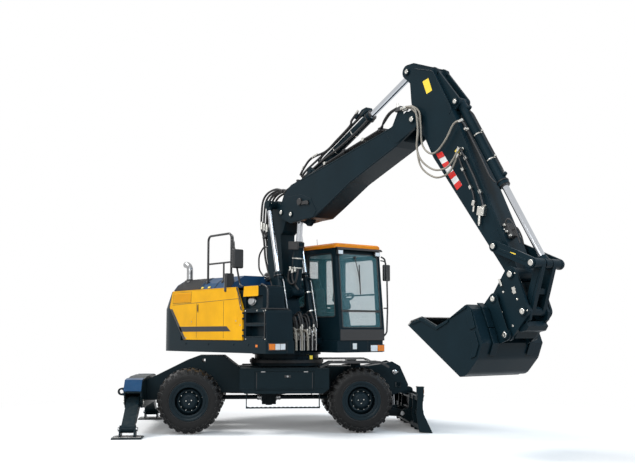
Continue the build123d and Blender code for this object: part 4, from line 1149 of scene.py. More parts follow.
def window_seals():
    seals = cab("window_seals", "black")
    for outline in RIGHT_WINDOWS:
        gasket(seals, outline, CAB_RIGHT - 1, 9)
        gasket(seals, shrink(outline, 6), CAB_RIGHT + 16, 9)
    gasket(seals, REAR_SIDE, CAB_LEFT + 1, 9)
    rear = [(-498, y, z) for y, z in ((360, 2112), (360, 2968), (1103, 2968), (1103, 2112))]
    front = [(1196, 300, 1722), (1086, 300, 2988), (1086, 1163, 2988), (1196, 1163, 1722)]
    for frame_points, radius in ((rear, 9), (front, 10)):
        seals.pipe(frame_points + frame_points[:2], 40, radius, 8, steps=5)
    bars = cab("cab_front_bars", "gloss", bevel=6, segments=3)
    bars.prism([(1172, 1986), (1166, 2020), (1182, 2022), (1188, 1988)], 292, 1171)


def door_details():
    def part(name, look, **more):
        return Piece(name, look, "cab_door", "cab_plastic", **more)

    seals = part("door_seals", "black")
    gasket(seals, DOOR_WINDOW, CAB_LEFT + 1, 9)
    gasket(seals, shrink(DOOR_WINDOW, 6), CAB_LEFT - 36, 8)
    part("door_split_bar", "gloss", bevel=5).box(128, 1026, 1197, 1230, 2290, 2318)
    handle = part("door_handle", "black", bevel=5, segments=3)
    handle.blocks((990, 1060, 1236, 1242, 1905, 1995), (1000, 1050, 1242, 1262, 1975, 1988))
    grab = [(160, 1180, 1850), (160, 1150, 1870), (160, 1150, 2200), (160, 1180, 2220)]
    part("door_inner_grab", "dark").pipe(grab, 20, 13, steps=5)


def cab_outside():
    skirt = cab("cab_skirt", "black", bevel=4)
    skirt.prism([(1202, 1504), (1202, 1690), (1208, 1690), (1210, 1504)], 240, 1223)
    louvre = cab("cab_rear_louvres", "mesh", bevel=2)
    louvre.prism(rect(-350, -60, 1600, 1960), 1236, 1242).prism(rect(-400, 200, 1600, 1900), 222, 228)
    grab = cab("cab_grab_rail", "gloss")
    grab.pipe([
        (1150, 1216, 2960), (1160, 1290, 2930), (1180, 1320, 2700), (1215, 1300, 2060), (1215, 1280, 1640),
        (1205, 1226, 1580),
    ], 90, 15, 14, steps=7)
    grab.pipe([(1205, 1222, 2060), (1214, 1302, 2060)], 10, 12, steps=5)
    cab("cab_mirror_shell", "black", bevel=20, segments=4).box(1120, 1172, 1262, 1416, 2540, 2830)
    cab("cab_mirror_face", "mirror", bevel=3).box(1116, 1121, 1274, 1404, 2560, 2810)
    stalk = [(1110, 1235, 2900), (1140, 1300, 2890), (1150, 1330, 2840)]
    cab("cab_mirror_stalk", "gloss").pipe(stalk, 30, 11, steps=5)
    wiper = cab("windscreen_wiper", "black", bevel=1)
    wiper.ring([(1122, 640, 2900), (1150, 690, 2660), (1176, 716, 2330)], 8, 8)
    wiper.ring([(1140, 715, 2800), (1183, 705, 2290)], 10, 8)
    wiper.spin([(0, 26), (22, 22)], (1108, 636, 2925), (1, 0, 0.1), 20)


def roof_details():
    visor = cab("roof_visor", "black", "orange_paint", bevel=6, segments=3)
    visor.prism([
        (1000, 3078), (1000, 3092), (1132, 3092), (1166, 3052), (1150, 3046), (1118, 3078),
    ], 222, 1238)
    cab("roof_hatch", "glass", "window_glass", bevel=6, segments=3).box(60, 780, 380, 1080, 3158, 3168)
    rim = cab("roof_hatch_rim", "black", "orange_paint", bevel=3)
    rim.blocks((40, 60, 360, 1100, 3158, 3172), (780, 800, 360, 1100, 3158, 3172))
    rim.blocks((60, 780, 360, 380, 3158, 3172), (60, 780, 1080, 1100, 3158, 3172))
    housings = cab("roof_lamp_housings", "black", bevel=8, segments=3)
    lenses = cab("roof_lamps", "lamp", "window_glass", bevel=6, segments=3)
    for y in (300, 1140):
        housings.box(1092, 1140, y - 62, y + 62, 2960, 3046)
        lenses.box(1140, 1148, y - 50, y + 50, 2970, 3036)
    beacon = cab("roof_beacon", "amber", "window_glass")
    beacon.spin([(0, 62), (70, 58), (110, 46), (124, 24), (126, 0)], (-380, 400, 3178), UP, 36)
    base = cab("beacon_base", "black").spin([(0, 70), (14, 70), (20, 64)], (-380, 400, 3159), UP, 36)
    aerial = [(-520, 1100, 3158), (-524, 1102, 3240), (-540, 1106, 3330), (-556, 1110, 3400)]
    base.hose(aerial, 4, 8, steps=6)


def cab_inside():
    rests = cab("seat_fittings", "dark", bevel=16, segments=3)
    sticks = cab("joysticks", "black", bevel=5, segments=3)
    grip = [(0, 34), (30, 26), (44, 13), (110, 13), (120, 24), (210, 26), (226, 14)]
    for side in BOTH:
        y = SEAT_Y + side * 300
        rests.blocks((-140, 260, y - 48, y + 48, 2100, 2150), (-60, 120, y - 30, y + 30, 1930, 2100))
        sticks.spin(grip, (230, y, 2148), (0.15, 0, 1), 24)
    rests.box(-160, 300, 560, 960, 1700, 1720)
    monitor = cab("cab_monitor", "gloss", bevel=8, segments=3)
    monitor.blocks((880, 905, 330, 560, 2180, 2330, -12), (900, 912, 430, 460, 1960, 2200))
    pedals = cab("pedals", "black", bevel=5)
    for y in (600, 690, 830, 920):
        pedals.prism([(930, 1560), (1010, 1680), (1022, 1672), (942, 1552)], y - 30, y + 30)
    cab("floor_mat", "hatch", bevel=2).box(310, 1110, 300, 1160, 1551, 1558)
    column = cab("steering_cover", "dark", bevel=10, segments=3)
    column.prism([(640, 2120), (640, 2220), (720, 2238), (790, 2100), (760, 2040)], 690, 830)
    cab("cab_rear_shelf", "dark", bevel=10, segments=3).box(-425, -300, 300, 1160, 1552, 2060)
    cab("cab_headliner", "grey", bevel=8).box(-400, 980, 300, 1160, 3012, 3028)


def seat_base():
    base = cab("seat_suspension", "dark", bevel=8, segments=3)
    base.blocks((-150, 300, 560, 960, 1552, 1600), (-130, 280, 580, 940, 1760, 1862))
    base.box(-60, 0, 700, 820, 1862, 1890)
    for k in range(7):
        base.box(-118 + k * 4, 268 - k * 4, 592 + k * 3, 928 - k * 3, 1604 + k * 22, 1618 + k * 22)
    piping = cab("seat_piping", "black", "seat_fabric")
    for z in (1990, 1888):
        edge = [(-168, 517, z), (333, 517, z), (333, 1002, z), (-168, 1002, z)]
        piping.pipe(edge + edge[:2], 40, 5, 8, steps=5)


# ---------------------------------------------------------------- the padded seat
VOXEL = 0.009
FILL_FRAMES = 20
FILL_PRESSURE = 4.0
FILL_LIMIT = 0.013


def seat_cushions():
    """Cushion, back and head rest as finely divided boxes in one object."""
    bm = bmesh.new()
    for x0, x1, y0, y1, z0, z1, lean in (
        (-170, 335, 515, 1004, 1886, 1990, 0.0), (-176, -92, 535, 984, 2000, 2440, 0.12),
        (-236, -166, 620, 900, 2450, 2640, 0.12),
    ):
        verts = bmesh.ops.create_cube(bm, size=1.0)["verts"]
        size, middle = Vector((x1 - x0, y1 - y0, z1 - z0)), Vector((x0 + x1, y0 + y1, z0 + z1)) / 2
        for v in verts:
            v.co = middle + v.co * size
            v.co.x -= (v.co.z - z0) * lean
        edges = list({edge for v in verts for edge in v.link_edges})
        bmesh.ops.subdivide_edges(bm, edges=edges, cuts=9, use_grid_fill=True)
    bm.transform(Matrix.Scale(MM, 4))
    data = bpy.data.meshes.new("driver_seat")
    bm.to_mesh(data)
    bm.free()
    data.materials.append(M["seat"])
    return link_object("driver_seat", data)


def current_mesh(piece):
    """The piece's shape with its modifiers, as a mesh of its own."""
    graph = bpy.context.evaluated_depsgraph_get()
    return bpy.data.meshes.new_from_object(piece.evaluated_get(graph), depsgraph=graph)


def fill_cushions(seat):
    """Fills the cushions by cloth pressure, no point moving over the limit."""
    start = [v.co.copy() for v in seat.data.vertices]
    settings = seat.modifiers.new("fill", "CLOTH").settings
    settings.quality = 5
    settings.use_pressure = True
    settings.uniform_pressure_force = FILL_PRESSURE
    settings.effector_weights.gravity = 0.0
    scene = bpy.context.scene
    for step in range(1, FILL_FRAMES + 1):
        scene.frame_set(step)
    moved = current_mesh(seat)
    for v, first, last in zip(seat.data.vertices, start, moved.vertices):
        shift = last.co - first
        if shift.length > FILL_LIMIT:
            shift *= FILL_LIMIT / shift.length
        v.co = first + shift
    seat.modifiers.clear()
    scene.frame_set(1)


def soft_seat():
    """The driver's seat: cushions joined, filled and smoothed."""
    seat = seat_cushions()
    remesh = seat.modifiers.new("remesh", "REMESH")
    remesh.mode = "VOXEL"
    remesh.voxel_size = VOXEL
    seat.data = current_mesh(seat)
    seat.modifiers.clear()
    fill_cushions(seat)
    smooth = seat.modifiers.new("soft", "CORRECTIVE_SMOOTH")
    smooth.iterations = 6
    smooth.use_only_smooth = True
    subdivide = seat.modifiers.new("round", "SUBSURF")
    subdivide.levels = subdivide.render_levels = 1
    seat.data.polygons.foreach_set("use_smooth", [True] * len(seat.data.polygons))
    if not seat.data.materials:
        seat.data.materials.append(M["seat"])
    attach(seat, "upper_structure")
    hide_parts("seat")


window_seals()
door_details()
cab_outside()
roof_details()
cab_inside()
seat_base()
finish_pieces()
soft_seat()


# ---------------------------------------------------------------- boom, arm and bucket
BOOM_Y = -170.0
NOSE, ARM_END, COUPLER_PIN = (3637, 4754), (5454, 2387), (5647, 1905)
BUCKET_PINS = ((5204, 2072), (5392, 1606))
BUCKET_RAM_PIN, ROCKER_PIN = (4415, 4885), (5840, 2510)
ADJUST_EYE, ARM_EYE = (630, 3650), (3450, 5525)
# half widths of the boom's, the arm's, the bucket's and the coupler's sides
BOOM_SIDE, ARM_SIDE, BUCKET_SIDE, COUPLER_SIDE = 199, 165.6, 599, 240
# places are (x, z) beside a piece's own y, which is 0 in the boom's middle plane
BOOM_SLOTS = {
    "zinc": "rod_chrome", "gloss": "rod_chrome", "dark": "cast_block",
    "hose": "tyre_rubber", "sleeve": "tyre_rubber",
}


def boom(name, look, body, slot=None, **more):
    slot = slot or BOOM_SLOTS.get(look, "slate_paint")
    return Piece(name, look, body, slot, Matrix.Translation((0, BOOM_Y, 0)), **more)


def skin(names, x, z, side):
    """Distance from the boom's middle plane to the outermost skin of some nodes there."""
    start = Vector((x * MM, (BOOM_Y + side * 1500) * MM, z * MM))
    reach = [0.0]
    for name in names.split():
        hit, place, _, _ = nodes[name].ray_cast(start, Vector((0, -side, 0)), distance=1.5)
        if hit:
            reach.append(abs(place.y / MM - BOOM_Y))
    return max(reach)


def between(a, b, t):
    return tuple(p + (q - p) * t for p, q in zip(a, b))


def fitting(nut_r, waist_r, collar_r, ends, taper_r=None):
    """Profile of a hose fitting: nut, waist and collar, closed at its end."""
    nut, waist, tip = ends
    return [
        (0, nut_r), (nut, nut_r), (nut + 2, waist_r), (waist, taper_r or waist_r),
        (waist + 2, collar_r), (tip, collar_r), (tip, 0),
    ]


def pin_caps():
    spots = (
        ("arm", "arm", ARM_EYE, 33), ("arm", "arm", BUCKET_RAM_PIN, 34), ("arm", "arm", (5218, 2763), 36),
        ("upper_boom", "upper_boom", NOSE, 38), ("idler_links", "idler_links", ROCKER_PIN, 40),
        ("coupler", "bucket", ARM_END, 40), ("coupler", "bucket", COUPLER_PIN, 38),
        ("bucket", "bucket", BUCKET_PINS[0], 36), ("bucket", "bucket", BUCKET_PINS[1], 36),
        ("upper_boom", "upper_boom", (348, 3708), 34), ("upper_boom", "upper_boom", ADJUST_EYE, 34),
        ("upper_boom", "upper_boom", (898, 3834), 36),
    )
    pieces = {
        body: (boom(body + "_pin_rings", "slate", body), boom(body + "_pin_caps", "zinc", body))
        for body in ("arm", "upper_boom", "idler_links", "bucket")
    }
    for node, body, (x, z), r in spots:
        names = node if body == "bucket" else "base_boom upper_boom arm idler_links"
        rings, caps = pieces[body]
        for side in BOTH:
            y = skin(names, x, z, side)
            if not y:
                continue
            place, axis = (x, side * y, z), (0, side, 0)
            rings.spin([
                (-2, r + 20), (5, r + 20), (8, r + 17), (8, r + 3), (3, r + 3), (3, 0),
            ], place, axis, 40)
            caps.spin([(2, r), (9, r), (12, r - 4), (12, 12), (9, 10), (9, 0)], place, axis, 36)


def cylinder(name, plural, base, eye, radii, length, ys, eye_r, eye_half):
    """Gland, port, pipe and rod-eye boss of a cylinder, or of a pair side by side."""
    barrel_r, rod_r = radii
    barrel, rod = f"{name}_barrel{plural}", f"{name}_rod{plural}"
    gland = boom(name + "_gland", "gloss", barrel, "slate_paint")
    ports = boom(name + "_ports", "slate", barrel)
    line = boom(name + "_line", "steel" if plural else "gloss", barrel, "rod_chrome")
    clips = boom(name + "_clips", "zinc", barrel)
    boss = boom(name + "_rod_eye", "slate", rod)
    grease = boom(name + "_grease_nipple", "zinc", rod)
    base_boss = boom(name + "_base_boss", "slate", barrel)
    for y in ys:
        start, end = Vector((base[0], y, base[1])), Vector((eye[0], y, eye[1]))
        along = (end - start).normalized()
        out = along.cross(Vector(LEFT)).normalized()
        if out.z < 0:
            out = -out
        side = along.cross(out)
        mouth = start + along * length
        head, band = barrel_r * 1.12, -barrel_r * 0.9
        gland.spin([
            (band - 6, barrel_r + 1), (band - 6, head + 7), (band + 12, head + 7), (band + 14, head + 1),
        ], mouth, along, 40)
        gland.spin([
            (-1, rod_r + 2), (-1, head - 4), (9, head - 4), (16, rod_r + 14), (22, rod_r + 12),
            (22, rod_r + 2),
        ], mouth, along, 40)
        for k in range(8):
            a = tau * k / 8
            gland.bolt(mouth + (out * cos(a) + side * sin(a)) * (head - 12) + along * 7, along, 6)
        top = length - barrel_r * 1.9
        for t in (top, 170):
            spot = start + along * t + out * (barrel_r - 4)
            ports.spin([(0, 30), (26, 30), (30, 26), (46, 24), (46, 0)], spot, out, 24)
        high_end, low_end = start + along * top, start + along * 300
        away = out * (barrel_r + 34) + side * 22
        line.pipe([
            high_end + out * (barrel_r + 20) + side * 14, high_end + away - along * 60,
            low_end + away, low_end + out * (barrel_r + 10) + side * 30 - along * 70,
        ], 40, 11)
        strap = [(-9, barrel_r + 1), (-9, barrel_r + 5), (9, barrel_r + 5), (9, barrel_r + 1)]
        for t in (0.3, 0.72):
            spot = low_end + (high_end - low_end) * t
            clips.spin(strap, spot, along, 40, loop=True)
            clips.rod(spot + away - along * 10, spot + away + along * 10, 17, 16)
            clips.bolt(spot + out * (barrel_r + 4) - side * 10, out, 8)
        edge, bore, neck = eye_half + 1.5, eye_r * 0.55, rod_r * 1.18
        boss.spin([(-edge, bore), (-edge, eye_r + 3), (edge, eye_r + 3), (edge, bore)], end, LEFT, 48)
        foot, tip = -eye_r - 42, -eye_r * 0.5
        boss.spin([(foot, rod_r + 1), (foot, neck + 3), (tip, neck + 10), (tip, rod_r)], end, along, 36)
        way = -out if name == "bucket_cylinder" else out
        grease.spin([(0, 8), (10, 8), (12, 5), (22, 4), (22, 0)], end + way * (eye_r + 2), way, 12)
        small = barrel_r * 0.8
        base_boss.spin([(-62, small), (-62, small + 2), (-58, small + 3)], start, LEFT, 8)


def loop(piece, points, y, radius, drift=0, sides=12):
    """A bent hose in the boom's plane through (x, z) points."""
    count = len(points) - 1
    path = [(x, y + drift * k / count, z) for k, (x, z) in enumerate(points)]
    return piece.hose(path, radius, sides, steps=7)


def collar(piece, place, toward):
    """A crimped hose end with its nut."""
    axis = Vector(toward) - Vector(place)
    r, long = 16, 46
    piece.spin([
        (0, r + 2), (0, r + 6), (long * 0.6, r + 6), (long * 0.62, r + 2), (long, r + 1),
    ], place, axis, 18)
    piece.spin([(-16, r + 3), (-16, r + 10), (0, r + 10), (0, r + 3)], place, axis, 6)


def arm_hoses():
    hoses = boom("arm_hoses", "sleeve", "arm")
    ends = boom("arm_hose_ends", "zinc", "arm")
    for y, path in (
        (-228, [(3560, 4948), (3658, 4945), (3798, 4836), (3827, 4672), (3854, 4352), (3995, 4196),
                (4148, 4195), (4331, 4341), (4483, 4533), (4628, 4559)]),
        (-262, [(3520, 4940), (3606, 4942), (3754, 4868), (3805, 4537), (3777, 4319), (3868, 4103),
                (4113, 3936), (4353, 3924), (4502, 4033), (4604, 4166)]),
        (-236, [(3520, 4925), (3606, 4925), (3709, 4860), (3783, 4726), (3758, 4322), (3836, 4019),
                (4081, 3839), (4291, 3824), (4440, 3900), (4560, 4090)]),
    ):
        loop(hoses, path, y, 14, sides=14)
        line = [(x, y, z) for x, z in path]
        collar(ends, line[0], line[1])
        collar(ends, line[-1], line[-2])


def arm_pipes():
    pipes = boom("arm_pipes", "black", "arm", "rod_chrome")
    pipes.pipe([
        (4604, -236, 4166), (4667, -205, 4028), (4828, -205, 3741), (4922, -205, 3529), (4982, -205, 3324),
    ], 60, 12)
    pipes.pipe([(4560, -236, 4090), (4629, -196, 3843), (4791, -196, 3545), (4820, -196, 3391)], 60, 12)
    pipes.pipe([(4628, -228, 4559), (4668, -205, 4500), (4690, -190, 4420)], 30, 14, steps=5)
    pipes.pipe([(4660, -150, 4440), (4880, -150, 4060), (5060, -150, 3720), (5120, -110, 3640)], 60, 12)
    clamps = boom("arm_clamps", "zinc", "arm", bevel=3)
    for x, z in ((4667, 4028), (4614, 3880), (4750, 3610), (4922, 3529)):
        clamps.box(x - 26, x + 26, -214, -166, z - 20, z + 20, -60)
    clamps.blocks((4890, 5010, -232, -166, 3200, 3318, -12), (4780, 4830, -214, -166, 3350, 3420, -20))
    fittings = boom("arm_fittings", "zinc", "arm")
    for x, z, r, long in (
        (4604, 4166, 26, 60), (4560, 4100, 22, 50), (4690, 4430, 24, 60), (4982, 3330, 22, 46),
    ):
        union = [(0, r), (long * 0.4, r), (long * 0.42, r * 0.75), (long, r * 0.75)]
        fittings.spin(union, (x, -168, z), (0, -1, 0), 6)
    fittings.rod((4912, -200, 3205), (4900, -200, 3090), 20, 16)
    fittings.rod((4900, -200, 3120), (4896, -200, 3070), 12, 12)
    fittings.rod((4806, -190, 3352), (4790, -190, 3270), 16, 16)
    for x, z in ((4915, 3232), (4985, 3218), (4932, 3288), (4994, 3280)):
        fittings.bolt((x, -232, z), (0, -1, 0), 8)
    boom("arm_yellow_clip", "tag", "arm", "yellow_paint", bevel=4).box(4530, 4590, -262, -214, 4120, 4160, 40)


def arm_foot():
    valve = boom("arm_foot_valve", "dark", "arm", bevel=5)
    valve.prism([(5200, 3040), (5290, 3080), (5400, 2900), (5310, 2860)], -90, 10)
    knobs = boom("arm_foot_fittings", "zinc", "arm")
    for x, z in ((5262, 3050), (5300, 2960), (5362, 2905), (5250, 2990)):
        knobs.spin([(0, 19), (20, 19), (22, 14), (40, 13), (40, 0)], (x, -92, z), (0, -1, 0), 6)
    whips = boom("arm_foot_hoses", "hose", "arm")
    loop(whips, [(5240, 3020), (5300, 3130), (5390, 3060), (5450, 2900), (5480, 2800)], -100, 12, 40)
    loop(whips, [(5330, 2960), (5400, 3010), (5470, 2900), (5500, 2780)], -40, 12, 20)


def marks():
    """Red and white stripes and blank label plates."""
    left_edge, right_edge = ((4073, 4176), (4470, 3606)), ((4192, 4196), (4570, 3666))
    for side_name, side in SIDES:
        white = boom("arm_stripe_white_" + side_name, "white", "arm", "yellow_paint")
        band = [left_edge[0], right_edge[0], right_edge[1], left_edge[1]]
        white.prism(band, *across(side, ARM_SIDE, ARM_SIDE + 1.4))
        red = boom("arm_stripe_red_" + side_name, "red", "arm", "yellow_paint")
        for k in range(4):
            a, b = k / 3.5, min(1.0, (k + 0.5) / 3.5)
            red.prism([
                between(*left_edge, a), between(*right_edge, a),
                between(*right_edge, b), between(*left_edge, b),
            ], *across(side, ARM_SIDE + 1.6, ARM_SIDE + 2.6))
        label = boom("arm_blank_label_" + side_name, "tag", "arm", "yellow_paint", bevel=1)
        plate = [(3815, 5290), (3935, 5318), (4010, 5120), (3895, 5088)]
        label.prism(plate, *across(side, ARM_SIDE, ARM_SIDE + 1.8))
    small = boom("idler_blank_tags", "tag", "idler_links", "yellow_paint", bevel=1)
    small.plates([(5500, 2668), (5590, 2640), (5582, 2612), (5494, 2640)], 284.4, 286)
    tags = boom("coupler_blank_tags", "zinc", "bucket", bevel=1)
    tags.plates([(5470, 2212), (5520, 2224), (5546, 2140), (5500, 2126)], 240.4, 243)
    for side in BOTH:
        tags.bolts((5508, side * 243, 2175), (0, side, 0), 30, 2, 5)


def welds_and_doublers():
    beads = boom("arm_weld_beads", "slate", "arm")
    seams = boom("upper_boom_beads", "slate", "upper_boom")
    for side in BOTH:
        y = side * 158
        beads.ring([(4100, y, 5250), (4520, y, 4480), (5330, y, 2810)], 9, 8)
        beads.ring([(4000, y, 4180), (5180, y, 2610)], 9, 8)
        bend = ((3650, 5520), (4020, 5410), (4390, 4780), (4330, 4700))
        beads.pipe([(x, y * 1.04, z) for x, z in bend], 60, 7, 8)
        y = side * 196
        seams.ring([(880, y, 4196), (1690, y, 4370), (3150, y, 4700)], 10, 8)
        seams.ring([(1560, y, 3690), (2200, y, 4016), (3260, y, 4418)], 10, 8)
        seams.ring([(1268, y, 3560), (1553, y, 3690)], 10, 8)
    ribs = boom("arm_top_plate", "slate", "arm", bevel=5)
    ribs.prism([(5090, 2960), (5180, 3000), (5420, 2560), (5330, 2520)], -168, -166)
    doubler = boom("upper_boom_nose_doubler", "slate", "upper_boom", bevel=5)
    doubler.plates([
        (3060, 4640), (3160, 4480), (3270, 4405), (3540, 4560), (3780, 4690), (3770, 4820), (3500, 4890),
        (3380, 4830),
    ], BOOM_SIDE, BOOM_SIDE + 7)
    doubler.plates([
        (300, 3660), (640, 3520), (980, 3530), (1240, 3540), (1330, 3640), (1180, 3860), (900, 3960),
        (560, 3960),
        (330, 3800),
    ], BOOM_SIDE, BOOM_SIDE + 7)
    boss = boom("upper_boom_boss", "black", "upper_boom", "cast_block", bevel=3)
    boss.caps([(0, 60), (34, 60), (40, 54), (40, 0)], [(898, 205, 3834)], 36)
    boss.boxes(940, 1120, 205, 232, 3776, 3836)
    boss.caps([(0, 30), (22, 30), (26, 24), (26, 0)], [(1110, 205, 3790)], 24)


def boom_top():
    top = [(399, 4080), (716, 4185), (1024, 4245), (1518, 4400), (1989, 4525), (2460, 4640), (2850, 4735)]
    crest = [(3000, 4828), (3140, 4948), (3300, 4983)]
    pipes = boom("boom_top_pipes", "black", "upper_boom", "rod_chrome")
    for k, (y, dz) in enumerate(((-150, 8), (-104, 10), (-58, 12), (20, 8), (66, 10))):
        path = [(x + 6 * k, y, z + dz) for x, z in top]
        path += [(x, -186 - 30 * k, z) for x, z in crest] if k < 2 else [(2930, y, 4720), (2940, y, 4620)]
        pipes.pipe(path, 90, 15)
    clamps = boom("boom_pipe_clamps", "zinc", "upper_boom", bevel=4)
    for x, z in ((1500, 4402), (2462, 4645)):
        clamps.box(x - 24, x + 24, -176, -10, z - 18, z + 34, 14)
    saddles = boom("boom_pipe_saddles", "black", "upper_boom", "rod_chrome", bevel=4)
    for x, z in ((760, 4195), (2000, 4530), (2860, 4730)):
        saddles.box(x - 20, x + 20, -178, 90, z - 16, z + 40, 15)
    nose_block = boom("boom_nose_fittings", "dark", "upper_boom", bevel=6)
    nose_block.blocks((3270, 3400, -222, -172, 4930, 5000, 4), (3390, 3440, -232, -172, 4924, 4984, 4))
    ends = boom("boom_nose_unions", "zinc", "upper_boom")
    for y, z, x in ((-230, 4950, 3420), (-204, 4930, 3440), (-196, 4970, 3420)):
        ends.spin(fitting(24, 19, 22, (26, 70, 92), 18), (x, y, z), (1, 0, -0.05), 6)
    ends.spin([(0, 22), (30, 22), (34, 16), (60, 16), (60, 0)], (3310, -196, 5000), UP, 6)
    post = boom("boom_nose_bracket", "slate", "upper_boom", bevel=4)
    post.prism([(3180, 4740), (3420, 4840), (3420, 4935), (3300, 4935)], -190, -176)


def arm_cylinder_lines():
    band = boom("arm_cylinder_hoses", "hose", "arm_cylinder_barrel")
    for y, drift, path in (
        (-108, 10, [(763, 4316), (866, 4428), (1069, 4565), (1463, 4625), (1750, 4766), (2075, 4940),
                    (2121, 5023), (2257, 5130)]),
        (-92, 40, [(780, 4290), (900, 4380), (1200, 4520), (1560, 4680), (1900, 4850), (2230, 5040),
                   (2400, 5150)]),
        (-104, 10, [(820, 4260), (1000, 4330), (1366, 4485), (1843, 4650), (2299, 4850), (2500, 4960)]),
    ):
        loop(band, path, y, 19, drift)
    joint = boom("arm_cylinder_unions", "zinc", "arm_cylinder_barrel")
    for x, z, dx, dz in (
        (1110, 4575, 1, 0.3), (1180, 4590, 1, 0.3), (830, 4400, 0.6, 1), (2240, 5118, 0.5, 0.3),
    ):
        joint.spin(fitting(23, 18, 23, (18, 46, 64)), (x, -108, z), (dx, 0, dz), 6)
    head = boom("arm_cylinder_valve", "slate", "arm_cylinder_barrel", bevel=6)
    head.prism([(2230, 5090), (2330, 5170), (2440, 5190), (2470, 5120), (2320, 5060)], -70, 60)
    head.prism([(2150, 5060), (2230, 5130), (2280, 5090), (2220, 5030)], -100, -20)


def boom_back():
    bend = [
        (300, 4100), (100, 4150), (-150, 4110), (-300, 3989), (-347, 3762), (-352, 3501), (-290, 3362),
        (-250, 3164), (-215, 2935), (-60, 2560), (110, 2260), (250, 2080),
    ]
    hoses = boom("boom_joint_hoses", "hose", "base_boom")
    sleeves = boom("boom_joint_sleeves", "zinc", "base_boom")
    crimp = [(0, 24), (12, 24), (14, 21), (110, 21), (112, 25), (130, 25), (130, 20)]
    for k, y in enumerate((-142, -96, -50, -4, 42, 88)):
        shift = 22 * (k % 3)
        loop(hoses, [(x + shift * 0.8, z - shift) for x, z in bend], y, 19)
    for k, y in enumerate((-142, -96, -50, 42)):
        shift = 22 * (k % 3)
        sleeves.spin(crimp, (shift * 0.8 - 348, y, 3480 - shift), (0.02, 0, 1), 20)
    guard = boom("boom_back_loop", "gloss", "base_boom")
    for side in BOTH:
        guard.pipe([
            (-120, side * 120, 3140), (-250, side * 150, 3164), (-414, side * 150, 3013),
            (-411, side * 150, 2751),
            (-239, side * 150, 2613), (-60, side * 120, 2600),
        ], 90, 15, 14, steps=8)
    straps = boom("boom_back_straps", "gloss", "base_boom", "slate_paint", bevel=4)
    for x, z in ((-190, 3330), (-70, 2560)):
        straps.box(x - 90, x + 40, -172, 118, z - 16, z + 16, 12)


def adjust_cylinder_lines():
    head = boom("adjust_cylinder_head_block", "black", "adjust_cylinder_barrel", "cast_block", bevel=8)
    head.prism([(448, 3200), (690, 3180), (700, 3150), (690, 3040), (450, 3060)], -130, -84)
    unions = boom("adjust_cylinder_unions", "zinc", "adjust_cylinder_barrel")
    for x, z in ((470, 2760), (530, 2720), (610, 2735)):
        unions.spin(fitting(26, 19, 25, (18, 52, 74)), (x, -96, z), (0.2, -0.3, -1), 6)
    whips = boom("adjust_cylinder_hoses", "hose", "adjust_cylinder_barrel")
    loop(whips, [(480, 2690), (450, 2560), (520, 2470), (640, 2480), (700, 2600), (720, 2720)], -130, 17, 10)
    loop(whips, [(550, 2650), (560, 2520), (640, 2420), (700, 2360)], -120, 17, 30)
    bracket = boom("boom_bracket_bolts", "zinc", "upper_structure")
    for side in BOTH:
        for x, z in ((420, 1640), (780, 1640), (600, 1560)):
            y = skin("boom_bracket upper_frame", x, z, side)
            if y:
                bracket.bolt((x, side * y, z), (0, side, 0), 14)


def bucket_details():
    straps = boom("bucket_wear_straps", "slate", "bucket", bevel=6)
    for outline in (
        [(5010, 1900), (5100, 1930), (5170, 1700), (5080, 1670)],
        [(5060, 1640), (5160, 1660), (5230, 1480), (5170, 1330), (5080, 1300), (5130, 1450)],
        [(4700, 1810), (4740, 1840), (5010, 1995), (5016, 1950)],
        [(3985, 1790), (4180, 1845), (4470, 1716), (4700, 1812), (4690, 1770), (4470, 1670), (4180, 1795),
         (3990, 1745)],
    ):
        straps.plates(outline, BUCKET_SIDE, BUCKET_SIDE + 17)
    cheeks = boom("bucket_cheeks", "slate", "bucket", bevel=5)
    cheeks.plates([
        (5140, 2090), (5170, 2120), (5270, 2100), (5450, 1640), (5440, 1560), (5360, 1550),
    ], 290, 300)
    lip = boom("bucket_cutting_edge", "worn", "bucket", bevel=4)
    section = [(3916, 1744), (3968, 1796), (4178, 1850), (4186, 1836), (3980, 1778), (3934, 1734)]
    lip.prism(section, -BUCKET_SIDE - 5, BUCKET_SIDE + 5)
    under = boom("bucket_floor_strips", "slate", "bucket", bevel=4)
    # strips on the floor, which runs along one direction and faces the other
    floor_along, floor_out = Vector((0.8195, -0.573)), Vector((-0.573, -0.8195))
    for k in range(9):
        a = Vector((3910, 1740)) + floor_along * (330 + 98 * k) - floor_out * 6
        b = a + floor_along * 62
        under.prism([a, b, b + floor_out * 16, a + floor_out * 16], -585, 585)
    under.plates([
        (5030, 2010), (5118, 1946), (5210, 1700), (5229, 1706), (5134, 1960), (5040, 2025),
    ], 306, 420)
    under.plates([
        (5222, 1690), (5290, 1500), (5230, 1345), (5244, 1340), (5306, 1500), (5238, 1696),
    ], 306, 420)
    pockets = boom("bucket_lip_pockets", "black", "bucket")
    pockets.caps([(0, 15), (3, 15), (3, 0)], [(4010 + 62 * k, 615.5, 1788 + 15 * k) for k in range(3)], 20)


